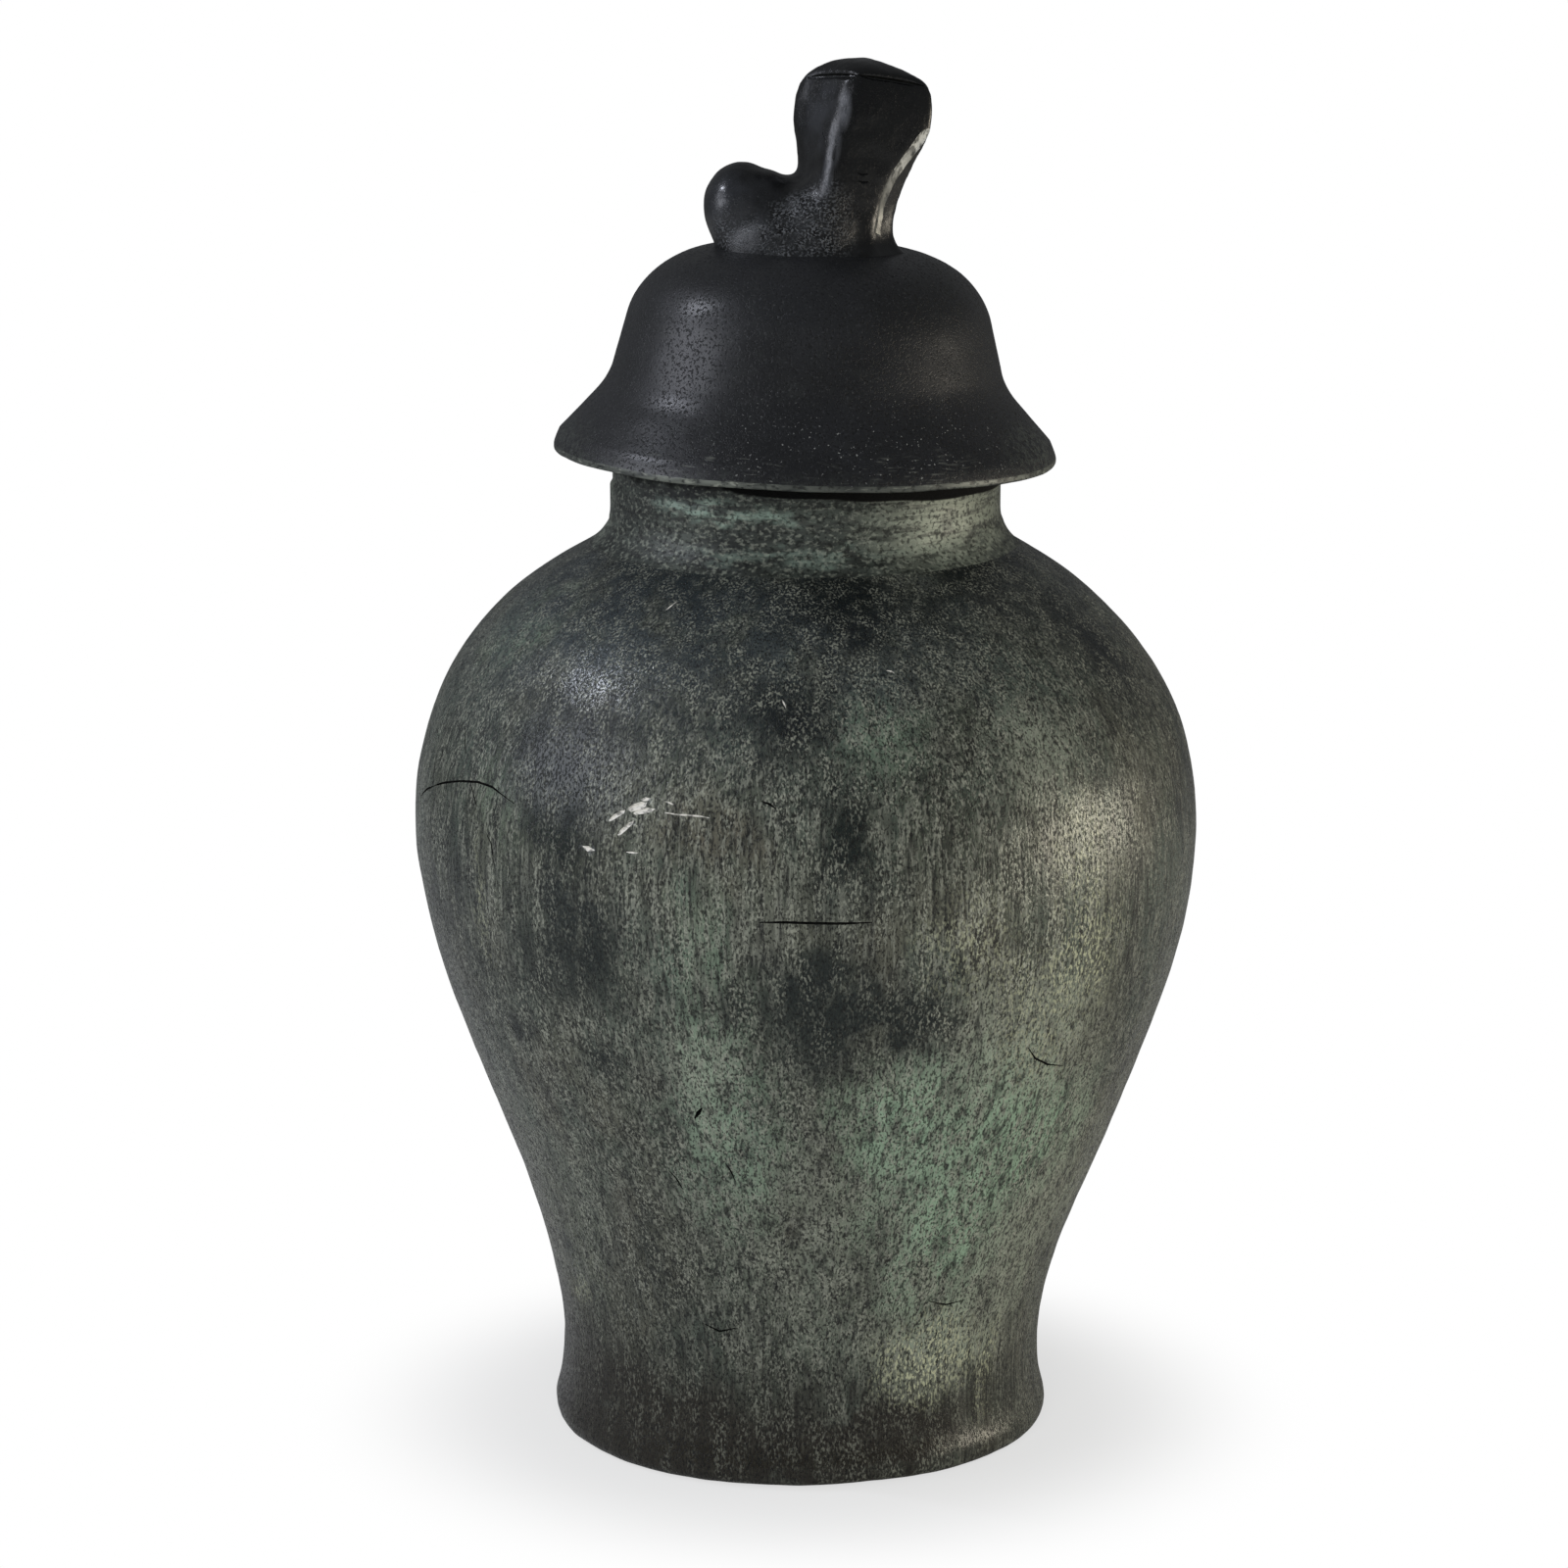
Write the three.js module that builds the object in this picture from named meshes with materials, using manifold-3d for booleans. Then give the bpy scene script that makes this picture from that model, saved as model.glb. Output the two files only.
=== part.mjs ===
// Bronze lidded urn: two body castings lapped and pinned at the belly, a set-in neck, a screwed base
// plate on cork, and a lift-off lid with a cast finial held from inside by a stud and nut.
// Millimetres, +Z up. The origin is on the floor at the centre of the foot, and the front faces -Y.

import * as THREE from 'three';
import { mergeVertices } from 'three/addons/utils/BufferGeometryUtils.js';
import Module from 'manifold-3d';

// Outer shape of the body
const FOOT_RADIUS = 111.3; // widest ring of the foot
const FOOT_RING_HEIGHT = 7; // height of that ring above the floor
const FOOT_EDGE_ROUND = 5.8; // how far the foot's edge rounds in at the floor
const WAIST_RADIUS = 108;
const WAIST_RISE = 29; // from the foot's widest ring to the waist
const BELLY_RADIUS = 173;
const BELLY_RISE = 239; // from the waist to the widest ring of the belly
const SHOULDER_RISE = 129; // from the belly ring to the foot of the neck
const NECK_RADIUS = 85.5;
const NECK_HEIGHT = 46; // from the shoulder to the middle of the mouth
const NECK_FLARE = 2.6; // sweep of the neck's foot over the shoulder
const NECK_FLARE_HEIGHT = 6;
const MOUTH_TILT = THREE.MathUtils.degToRad(1.8); // the mouth is lower on its +X side

// Fullness of the body's curves: the share of each rise that a curve keeps its end direction for
const FOOT_FULLNESS = 0.21;
const WAIST_FULLNESS_BELOW = 0.77;
const WAIST_FULLNESS_ABOVE = 0.284;
const BELLY_FULLNESS_BELOW = 0.335;
const BELLY_FULLNESS_ABOVE = 0.74;
const SHOULDER_FULLNESS = 0.06;

// Walls and joints of the body
const BODY_WALL = 4.5;
const NECK_WALL = 6;
const FIT_GAP = 0.3; // clearance between pieces that touch
const LAP_DEPTH = 18; // sleeve of the upper casting inside the lower one
const LAP_WALL = 4;
const NECK_SPIGOT_WALL = 3.6; // sleeve of the neck inside the shoulder's opening
const NECK_SPIGOT_DEPTH = 8;
const PIN_COUNT = 8;
const PIN_RADIUS = 2.5;

// Base
const CORK_THICKNESS = 2;
const CORK_STANDS_PROUD = 0.6; // the bronze foot hangs this far above the floor
const FOOT_LAND_WIDTH = 7; // bronze ring round the base plate
const BASE_PLATE_THICKNESS = 4;
const LEDGE_WIDTH = 15; // inner ledge that the base plate is screwed to
const LEDGE_THICKNESS = 7;

// Lid, measured square to the mouth and up from it
const BRIM_OVERHANG = 24.3; // beyond the neck
const BRIM_DROP = 11.5; // lowest edge of the lip below the mouth
const LIP_HEIGHT = 8;
const LIP_ROUND = 2.2;
const LID_STEP = 0.9; // the lid's side stands this far outside the neck
const FLARE_RISE = 20; // where the flared brim turns into the side
const FLARE_FILLET = 7;
const LID_SIDE_RISE = 28; // length of the side above the flare
const LID_TAPER = 7.1; // the side draws in this much over its length
const LID_SHOULDER_RISE = 30; // from the side to the crown
const LID_SHOULDER_FULLNESS = 0.5;
const CROWN_FULLNESS = 0.54;
const CROWN_SLOPE = 0.2;
const CROWN_RADIUS = 44; // flat seat of the finial
const LID_WALL = 4;

// Seat of the lid
const SEAT_RING_THICKNESS = 2;
const SEAT_RING_INSET = 0.5; // from both edges of the mouth rim
const FLANGE_THICKNESS = 3;
const SPIGOT_WALL = 3;
const SPIGOT_DEPTH = 12; // below the mouth
const SPIGOT_CLEARANCE = 2; // loose fit in the neck
const BACKING_REACH = 4.5; // thick ring inside the lid, this far in past the neck's outer face

// Screws
const SCREW_COUNT = 4;
const SCREW_RADIUS = 2;
const SCREW_HEAD_RADIUS = 3.8;
const SCREW_HEAD_HEIGHT = 2;
const SCREW_HEAD_RIM = 0.4;
const SCREW_EDGE = 0.9; // flange left outside the screw heads
const BASE_SCREW_GRIP = 5; // length of thread in the ledge
const RING_SCREW_COVER = 2.5; // bronze left over the ring's screws, under the lid's outer face
const SLOT_WIDTH = 0.9;
const SLOT_DEPTH = 0.8;

// Finial, measured up from the crown and sideways from the lid's axis
const COLUMN_FOOT_FLARE = 3.2; // the foot of the column spreads this much on each side
const COLUMN_WAIST_HEIGHT = 13.5;
const COLUMN_WIDTH = 43;
const COLUMN_DEPTH = 45;
const COLUMN_OFFSET = 13.5;
const NECKING_RISE = 26; // from the column's waist to the underside of the head
const NECKING_WIDTH = 51;
const NECKING_DEPTH = 48;
const NECKING_OFFSET = 17.8;
const HEAD_RISE = 18; // from there to the widest ring of the head
const HEAD_WIDTH = 60.4;
const HEAD_DEPTH = 54;
const HEAD_OFFSET = 20;
const BROW_RISE = 16; // from the widest ring to the edge of the cap
const BROW_WIDTH = 53.4;
const BROW_DEPTH = 48;
const CAP_RISE = 8.6;
const CAP_FLAT = 0.12; // share of the brow's size that the cap keeps at its top
const HAUNCH_BASE_WIDTH = 70;
const HAUNCH_BASE_DEPTH = 50;
const HAUNCH_BASE_OFFSET = -9;
const HAUNCH_WAIST_HEIGHT = 19; // widest ring of the haunch
const HAUNCH_WIDTH = 61;
const HAUNCH_DEPTH = 45;
const HAUNCH_OFFSET = -17;
const HAUNCH_CROWN_RISE = 17.4;
const HAUNCH_CROWN_OFFSET = -33.5;
const HAUNCH_TAPER = 1.4; // above 1 the crown of the haunch is more pointed than an ellipse
const OVAL = 2; // outline of a level: 2 is an ellipse
const DIAMOND = 1.45; // a lower value has four soft corners on the axes

// Fixings of the finial
const STUD_RADIUS = 4;
const STUD_GRIP = 24; // length of the stud inside the finial
const STUD_TAIL = 2; // thread that shows below the nut
const WASHER_RADIUS = 12;
const WASHER_THICKNESS = 2;
const NUT_ACROSS_FLATS = 13;
const NUT_HEIGHT = 6.5;
const DOWEL_RADIUS = 2.5;
const DOWEL_GRIP = 10;
const DOWEL_OFFSET = -22;

// Fineness of the facets
const TURNED_STEPS = 40;
const SMALL_TURNED_STEPS = 12;
const CURVE_STEPS = 9; // along a long curve of the body
const WALL_STEPS = 7; // along its inner face
const EDGE_STEPS = 3; // along a small rounding
const FILLET_STEPS = 4;
const LID_SHOULDER_STEPS = 6;
const FINE_STEPS = 96; // for reading a radius off a curve
const LOFT_STEPS = 24;
const COLUMN_LEVELS = 12;
const HAUNCH_LEVELS = 8;
const HEX_STEPS = 6;
const MERGE_TOLERANCE = 1e-4;
const CUT_MARGIN = 5; // how far a cutter reaches past the face that it cuts

// Heights and radii that several pieces share
const waistHeight = FOOT_RING_HEIGHT + WAIST_RISE;
const bellyHeight = waistHeight + BELLY_RISE;
const shoulderHeight = bellyHeight + SHOULDER_RISE;
const mouthHeight = shoulderHeight + NECK_HEIGHT;
const neckSeatRadius = NECK_RADIUS + NECK_FLARE + FIT_GAP;
const neckBoreRadius = NECK_RADIUS - NECK_WALL;
const neckSpigotRadius = neckBoreRadius + NECK_SPIGOT_WALL;
const neckOpeningRadius = neckSpigotRadius + FIT_GAP;
const footLandRadius = FOOT_RADIUS - FOOT_EDGE_ROUND;
const plateRecessRadius = footLandRadius - FOOT_LAND_WIDTH;
const plateHeight = CORK_THICKNESS + FIT_GAP;
const ledgeHeight = plateHeight + BASE_PLATE_THICKNESS + FIT_GAP;
const baseScrewRadius = plateRecessRadius - LEDGE_WIDTH / 2;
const brimRadius = NECK_RADIUS + BRIM_OVERHANG;
const flangeHeight = FIT_GAP + SEAT_RING_THICKNESS + FIT_GAP;
const backingHeight = flangeHeight + FLANGE_THICKNESS + FIT_GAP;
const lidSideTop = FLARE_RISE + LID_SIDE_RISE;
const crownHeight = lidSideTop + LID_SHOULDER_RISE;
const spigotRadius = neckBoreRadius - SPIGOT_CLEARANCE;
const finialBase = crownHeight + FIT_GAP;

const BRONZE = { color: '#3d3a33', roughness: 0.5, metalness: 0.75 };
const BLACK_PATINA = { color: '#212226', roughness: 0.55, metalness: 0.6 };
const BARE_BRONZE = { color: '#7d6a45', roughness: 0.45, metalness: 1 };
const CORK = { color: '#9a7a55', roughness: 0.95, metalness: 0 };

const wasm = await Module();
wasm.setup();

function at(radius, height) {
  return new THREE.Vector2(radius, height);
}

// Points along a curve, moved inwards by a depth that is square to the curve.
function follow(curve, steps, depth = 0) {
  return Array.from({ length: steps + 1 }, (_, i) => {
    const tangent = curve.getTangent(i / steps);
    return curve.getPoint(i / steps).add(at(-tangent.y, tangent.x).multiplyScalar(depth));
  });
}

// Radius of a rising outline at a height, and height at which it has drawn in to a radius.
function radiusAt(outline, height) {
  const i = Math.max(1, outline.findIndex((point) => point.y >= height));
  const [low, high] = [outline[i - 1], outline[i]];
  return THREE.MathUtils.mapLinear(height, low.y, high.y, low.x, high.x);
}

function heightAt(outline, radius) {
  const i = Math.max(1, outline.findIndex((point) => point.x <= radius));
  const [low, high] = [outline[i - 1], outline[i]];
  return THREE.MathUtils.mapLinear(radius, low.x, high.x, low.y, high.y);
}

// A turned solid about Z. The outline starts and ends on the axis, or runs round a closed section.
function turned(outline, steps = TURNED_STEPS) {
  return new THREE.LatheGeometry(outline, steps).rotateX(Math.PI / 2);
}

function turnedRing(section, steps = TURNED_STEPS) {
  return turned([...section, section[0]], steps);
}

// An upright cylinder from one height to another.
function rod(radius, low, high, steps = SMALL_TURNED_STEPS) {
  return turned([at(0, low), at(radius, low), at(radius, high), at(0, high)], steps);
}

function solid(geometry) {
  const bare = geometry.clone();
  bare.deleteAttribute('normal');
  bare.deleteAttribute('uv');
  const merged = mergeVertices(bare, MERGE_TOLERANCE);
  const vertProperties = new Float32Array(merged.attributes.position.array);
  const triVerts = new Uint32Array(merged.index.array);
  return new wasm.Manifold(new wasm.Mesh({ numProp: 3, vertProperties, triVerts }));
}

function geometryOf(manifold) {
  const mesh = manifold.getMesh();
  const geometry = new THREE.BufferGeometry();
  geometry.setAttribute('position', new THREE.BufferAttribute(mesh.vertProperties, 3));
  geometry.setIndex(new THREE.BufferAttribute(mesh.triVerts, 1));
  geometry.computeVertexNormals();
  return geometry;
}

function cut(geometry, cutters) {
  return geometryOf(cutters.reduce((body, cutter) => body.subtract(solid(cutter)), solid(geometry)));
}

function piece(name, geometry, finish) {
  const mesh = new THREE.Mesh(geometry, new THREE.MeshStandardMaterial(finish));
  mesh.name = name;
  return mesh;
}

// Angles of evenly spaced pieces round the axis, starting at +X.
function around(count) {
  return Array.from({ length: count }, (_, i) => (i / count) * 2 * Math.PI);
}

function polar(radius, angle, height) {
  return new THREE.Vector3(radius * Math.cos(angle), radius * Math.sin(angle), height);
}

// Outer curves of the body
const footCurve = new THREE.CubicBezierCurve(
  at(FOOT_RADIUS, FOOT_RING_HEIGHT),
  at(FOOT_RADIUS, FOOT_RING_HEIGHT + FOOT_FULLNESS * WAIST_RISE),
  at(WAIST_RADIUS, waistHeight - WAIST_FULLNESS_BELOW * WAIST_RISE),
  at(WAIST_RADIUS, waistHeight),
);
const swellCurve = new THREE.CubicBezierCurve(
  at(WAIST_RADIUS, waistHeight),
  at(WAIST_RADIUS, waistHeight + WAIST_FULLNESS_ABOVE * BELLY_RISE),
  at(BELLY_RADIUS, bellyHeight - BELLY_FULLNESS_BELOW * BELLY_RISE),
  at(BELLY_RADIUS, bellyHeight),
);
const shoulderCurve = new THREE.CubicBezierCurve(
  at(BELLY_RADIUS, bellyHeight + FIT_GAP),
  at(BELLY_RADIUS, bellyHeight + BELLY_FULLNESS_ABOVE * SHOULDER_RISE),
  at(
    neckSeatRadius + SHOULDER_FULLNESS * (BELLY_RADIUS - neckSeatRadius),
    shoulderHeight - SHOULDER_FULLNESS * SHOULDER_RISE,
  ),
  at(neckSeatRadius, shoulderHeight),
);

// A countersunk slotted screw that points up, with its head's face at height 0.
// Clearance widens it into the cutter for its own hole.
function screw(length, clearance = 0) {
  const foot = clearance ? -CUT_MARGIN : 0;
  const head = SCREW_HEAD_RADIUS + clearance;
  const shank = SCREW_RADIUS + clearance;
  const profile = [
    at(0, foot),
    at(head, foot),
    at(head, SCREW_HEAD_RIM),
    at(shank, SCREW_HEAD_HEIGHT + SCREW_HEAD_RIM),
    at(shank, length + clearance),
    at(0, length + clearance),
  ];
  return turned(profile, SMALL_TURNED_STEPS);
}

function slottedScrew(length) {
  const slot = new THREE.BoxGeometry(2 * SCREW_HEAD_RADIUS + CUT_MARGIN, SLOT_WIDTH, 2 * SLOT_DEPTH);
  return cut(screw(length), [slot]);
}

const baseScrewLength = BASE_PLATE_THICKNESS + BASE_SCREW_GRIP;

function placed(geometry, position) {
  return geometry.clone().translate(position.x, position.y, position.z);
}

function baseScrewPlaces() {
  return around(SCREW_COUNT).map((angle) => polar(baseScrewRadius, angle, plateHeight));
}

function baseScrewHoles() {
  return baseScrewPlaces().map((place) => placed(screw(baseScrewLength, FIT_GAP), place));
}

// The lap at the belly: the lower casting is bored straight there, and the upper one's sleeve fits it.
const lowerInside = [
  ...follow(footCurve, EDGE_STEPS, BODY_WALL),
  ...follow(swellCurve, WALL_STEPS, BODY_WALL).slice(1),
];
const lapFoot = bellyHeight - LAP_DEPTH;
const lapBore = radiusAt(lowerInside, lapFoot);
const sleeveRadius = lapBore - FIT_GAP;

// Radial pins through the lap, filed back to the outer face
const pinHeight = bellyHeight - LAP_DEPTH / 2;
const pinOuter = radiusAt(follow(swellCurve, FINE_STEPS), pinHeight) - FIT_GAP;
const pinInner = sleeveRadius - LAP_WALL;

function radialPin(angle, radius, inner, outer) {
  return rod(radius, inner, outer, SMALL_TURNED_STEPS)
    .rotateY(Math.PI / 2)
    .rotateZ(angle)
    .translate(0, 0, pinHeight);
}

function pinHoles() {
  const [inner, outer] = [pinInner - CUT_MARGIN, pinOuter + CUT_MARGIN];
  return around(PIN_COUNT).map((angle) => radialPin(angle, PIN_RADIUS + FIT_GAP, inner, outer));
}

function lowerBody() {
  const edge = new THREE.QuadraticBezierCurve(
    at(footLandRadius, CORK_STANDS_PROUD),
    at(FOOT_RADIUS, CORK_STANDS_PROUD),
    at(FOOT_RADIUS, FOOT_RING_HEIGHT),
  );
  const ledgeTop = ledgeHeight + LEDGE_THICKNESS;
  const wall = lowerInside.filter((point) => point.y > ledgeTop && point.y < lapFoot);
  const section = [
    at(plateRecessRadius, CORK_STANDS_PROUD),
    ...follow(edge, EDGE_STEPS),
    ...follow(footCurve, EDGE_STEPS).slice(1),
    ...follow(swellCurve, CURVE_STEPS).slice(1),
    at(lapBore, bellyHeight),
    at(lapBore, lapFoot),
    ...wall.reverse(),
    at(radiusAt(lowerInside, ledgeTop), ledgeTop),
    at(plateRecessRadius - LEDGE_WIDTH, ledgeTop),
    at(plateRecessRadius - LEDGE_WIDTH, ledgeHeight),
    at(plateRecessRadius, ledgeHeight),
  ];
  return cut(turnedRing(section), [...pinHoles(), ...baseScrewHoles()]);
}

function upperBody() {
  const seatFloor = shoulderHeight - NECK_SPIGOT_DEPTH;
  const inside = follow(shoulderCurve, WALL_STEPS, BODY_WALL).slice(1);
  const wall = inside.filter((point) => point.y < seatFloor);
  const section = [
    at(sleeveRadius, bellyHeight + FIT_GAP),
    ...follow(shoulderCurve, CURVE_STEPS),
    at(neckOpeningRadius, shoulderHeight),
    at(neckOpeningRadius, seatFloor),
    at(radiusAt(inside, seatFloor), seatFloor),
    ...wall.reverse(),
    at(pinInner, bellyHeight + LAP_WALL),
    at(pinInner, lapFoot + FIT_GAP),
    at(sleeveRadius, lapFoot + FIT_GAP),
  ];
  return cut(turnedRing(section), pinHoles());
}

function neckCollar() {
  const foot = shoulderHeight + FIT_GAP;
  const sweep = new THREE.QuadraticBezierCurve(
    at(NECK_RADIUS + NECK_FLARE, foot),
    at(NECK_RADIUS, foot),
    at(NECK_RADIUS, foot + NECK_FLARE_HEIGHT),
  );
  const top = mouthHeight + NECK_RADIUS * Math.tan(MOUTH_TILT) + CUT_MARGIN;
  const section = [
    at(neckBoreRadius, shoulderHeight - NECK_SPIGOT_DEPTH),
    at(neckSpigotRadius, shoulderHeight - NECK_SPIGOT_DEPTH),
    at(neckSpigotRadius, foot),
    ...follow(sweep, EDGE_STEPS),
    at(NECK_RADIUS, top),
    at(neckBoreRadius, top),
  ];
  const waste = 2 * (top - mouthHeight) + CUT_MARGIN;
  const across = 2 * (NECK_RADIUS + NECK_FLARE + CUT_MARGIN);
  const aboveMouth = new THREE.BoxGeometry(across, across, waste)
    .translate(0, 0, waste / 2)
    .rotateY(MOUTH_TILT)
    .translate(0, 0, mouthHeight);
  return cut(turnedRing(section), [aboveMouth]);
}

function basePlate() {
  const radius = plateRecessRadius - FIT_GAP;
  const disc = rod(radius, plateHeight, plateHeight + BASE_PLATE_THICKNESS, TURNED_STEPS);
  return cut(disc, baseScrewHoles());
}

// Outer curves of the lid, in the mouth's own frame
const lidCorner = at(NECK_RADIUS + LID_STEP, FLARE_RISE);
const lidSideEnd = at(lidCorner.x - LID_TAPER, lidSideTop);
const brimTop = at(brimRadius - LIP_ROUND, LIP_HEIGHT - BRIM_DROP);
const flareEnd = lidCorner.clone().lerp(brimTop, FLARE_FILLET / (FLARE_RISE - brimTop.y));
const sideStart = lidCorner.clone().lerp(lidSideEnd, FLARE_FILLET / LID_SIDE_RISE);
const crownEdge = at(CROWN_RADIUS, crownHeight);
const lidCurves = [
  { curve: new THREE.LineCurve(brimTop, flareEnd), steps: 1 },
  { curve: new THREE.QuadraticBezierCurve(flareEnd, lidCorner, sideStart), steps: FILLET_STEPS },
  { curve: new THREE.LineCurve(sideStart, lidSideEnd), steps: 1 },
  {
    curve: new THREE.CubicBezierCurve(
      lidSideEnd,
      lidSideEnd.clone().lerp(
        lidCorner.clone().lerp(lidSideEnd, 1 + LID_SHOULDER_RISE / LID_SIDE_RISE),
        LID_SHOULDER_FULLNESS,
      ),
      at(
        CROWN_RADIUS + CROWN_FULLNESS * (lidSideEnd.x - CROWN_RADIUS),
        crownHeight - CROWN_SLOPE * CROWN_FULLNESS * (lidSideEnd.x - CROWN_RADIUS),
      ),
      crownEdge,
    ),
    steps: LID_SHOULDER_STEPS,
  },
];

function lidOutline(depth) {
  return lidCurves.flatMap(({ curve, steps }, i) => follow(curve, steps, depth).slice(i ? 1 : 0));
}

const lidOutside = lidOutline(0);
const lidInside = lidOutline(LID_WALL);
const crownFloor = crownHeight - LID_WALL;
const backingRadius = NECK_RADIUS - BACKING_REACH;
const flangeRadius = radiusAt(lidInside, backingHeight) - FIT_GAP;
const ringScrewRadius = flangeRadius - SCREW_EDGE - SCREW_HEAD_RADIUS;
const ringScrewTop = heightAt(lidOutside, ringScrewRadius + SCREW_RADIUS) - RING_SCREW_COVER;
const ringScrewLength = ringScrewTop - flangeHeight;

function ringScrewPlaces() {
  return around(SCREW_COUNT).map((angle) => polar(ringScrewRadius, angle, flangeHeight));
}

function ringScrewHoles() {
  return ringScrewPlaces().map((place) => placed(screw(ringScrewLength, FIT_GAP), place));
}

function dowelRod(clearance, low, high) {
  return rod(DOWEL_RADIUS + clearance, low, high).translate(DOWEL_OFFSET, 0, 0);
}

function lidShell() {
  const lip = new THREE.CubicBezierCurve(
    at(brimRadius - LIP_ROUND, -BRIM_DROP),
    at(brimRadius + LIP_ROUND / 2, -BRIM_DROP),
    at(brimRadius + LIP_ROUND / 2, LIP_HEIGHT / 2 - BRIM_DROP),
    brimTop,
  );
  const hole = STUD_RADIUS + FIT_GAP;
  const dome = lidInside.filter((point) => point.x < backingRadius && point.y < crownFloor);
  const section = [
    ...follow(lip, EDGE_STEPS),
    ...lidOutside.slice(1),
    at(hole, crownHeight),
    at(hole, crownFloor),
    at(CROWN_RADIUS - LID_WALL, crownFloor),
    ...dome.reverse(),
    at(backingRadius, heightAt(lidInside, backingRadius)),
    at(backingRadius, backingHeight),
    at(radiusAt(lidInside, backingHeight), backingHeight),
    lidInside[0],
    at(brimRadius - LIP_ROUND - LID_WALL, -BRIM_DROP),
  ];
  const dowelHole = dowelRod(FIT_GAP, crownFloor - CUT_MARGIN, crownHeight + CUT_MARGIN);
  return cut(turnedRing(section), [dowelHole, ...ringScrewHoles()]);
}

function locatingRing() {
  const bore = spigotRadius - SPIGOT_WALL;
  const section = [
    at(bore, -SPIGOT_DEPTH),
    at(spigotRadius, -SPIGOT_DEPTH),
    at(spigotRadius, flangeHeight),
    at(flangeRadius, flangeHeight),
    at(flangeRadius, flangeHeight + FLANGE_THICKNESS),
    at(bore, flangeHeight + FLANGE_THICKNESS),
  ];
  return cut(turnedRing(section), ringScrewHoles());
}

function seatRing() {
  const inner = neckBoreRadius + SEAT_RING_INSET;
  const outer = NECK_RADIUS - SEAT_RING_INSET;
  return turnedRing([
    at(inner, FIT_GAP),
    at(outer, FIT_GAP),
    at(outer, FIT_GAP + SEAT_RING_THICKNESS),
    at(inner, FIT_GAP + SEAT_RING_THICKNESS),
  ]);
}

// A level outline of the finial, and a closed skin over a stack of them.
function level(height, offset, width, depth, corner) {
  return { height, offset, width, depth, corner };
}

function loft(levels) {
  const vertices = [];
  const triangles = [];
  for (const { height, offset, width, depth, corner } of levels) {
    for (let i = 0; i < LOFT_STEPS; i += 1) {
      const angle = (i / LOFT_STEPS) * 2 * Math.PI;
      const [c, s] = [Math.cos(angle), Math.sin(angle)];
      const reach = (Math.abs(c) ** corner + Math.abs(s) ** corner) ** (-1 / corner);
      vertices.push(offset + (width / 2) * reach * c, (depth / 2) * reach * s, height);
    }
  }
  for (let ring = 0; ring + 1 < levels.length; ring += 1) {
    const [low, high] = [ring * LOFT_STEPS, (ring + 1) * LOFT_STEPS];
    for (let i = 0; i < LOFT_STEPS; i += 1) {
      const next = (i + 1) % LOFT_STEPS;
      triangles.push(low + i, low + next, high + next, low + i, high + next, high + i);
    }
  }
  const top = (levels.length - 1) * LOFT_STEPS;
  for (let i = 1; i + 1 < LOFT_STEPS; i += 1) {
    triangles.push(0, i + 1, i, top, top + i, top + i + 1);
  }
  const geometry = new THREE.BufferGeometry();
  geometry.setAttribute('position', new THREE.Float32BufferAttribute(vertices, 3));
  geometry.setIndex(triangles);
  geometry.computeVertexNormals();
  return geometry;
}

// Even levels on a smooth curve through the key levels.
function smoothLevels(keys, count) {
  const heights = keys.map((key) => key.height);
  const values = keys.flatMap(({ offset, width, depth, corner }) => [offset, width, depth, corner]);
  const spline = new THREE.CubicInterpolant(heights, values, values.length / keys.length);
  return Array.from({ length: count + 1 }, (_, i) => {
    const height = THREE.MathUtils.lerp(heights[0], heights.at(-1), i / count);
    return level(height, ...spline.evaluate(height));
  });
}

// The upright block of the finial: a waisted column under a squarish head, seen on its corner,
// with a low cap.
function finialColumn() {
  const necking = COLUMN_WAIST_HEIGHT + NECKING_RISE;
  const head = necking + HEAD_RISE;
  const brow = head + BROW_RISE;
  const [footWidth, footDepth] = [COLUMN_WIDTH, COLUMN_DEPTH].map((size) => size + 2 * COLUMN_FOOT_FLARE);
  const keys = [
    level(0, COLUMN_OFFSET, footWidth, footDepth, OVAL),
    level(COLUMN_WAIST_HEIGHT, COLUMN_OFFSET, COLUMN_WIDTH, COLUMN_DEPTH, OVAL),
    level(necking, NECKING_OFFSET, NECKING_WIDTH, NECKING_DEPTH, DIAMOND),
    level(head, HEAD_OFFSET, HEAD_WIDTH, HEAD_DEPTH, DIAMOND),
    level(brow, HEAD_OFFSET, BROW_WIDTH, BROW_DEPTH, DIAMOND),
  ];
  const capTop = brow + CAP_RISE;
  const top = level(capTop, HEAD_OFFSET, CAP_FLAT * BROW_WIDTH, CAP_FLAT * BROW_DEPTH, DIAMOND);
  return loft([...smoothLevels(keys, COLUMN_LEVELS), top]);
}

// The low lump of the finial: a broad foot that leans out to a rounded crown on the -X side.
function finialHaunch() {
  const foot = level(0, HAUNCH_BASE_OFFSET, HAUNCH_BASE_WIDTH, HAUNCH_BASE_DEPTH, OVAL);
  const crown = Array.from({ length: HAUNCH_LEVELS }, (_, i) => {
    const turn = (i / HAUNCH_LEVELS) * (Math.PI / 2);
    const share = Math.cos(turn) ** HAUNCH_TAPER;
    const height = HAUNCH_WAIST_HEIGHT + HAUNCH_CROWN_RISE * Math.sin(turn);
    const offset = THREE.MathUtils.lerp(HAUNCH_CROWN_OFFSET, HAUNCH_OFFSET, share ** 2);
    return level(height, offset, HAUNCH_WIDTH * share, HAUNCH_DEPTH * share, OVAL);
  });
  return loft([foot, ...crown]);
}

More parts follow.
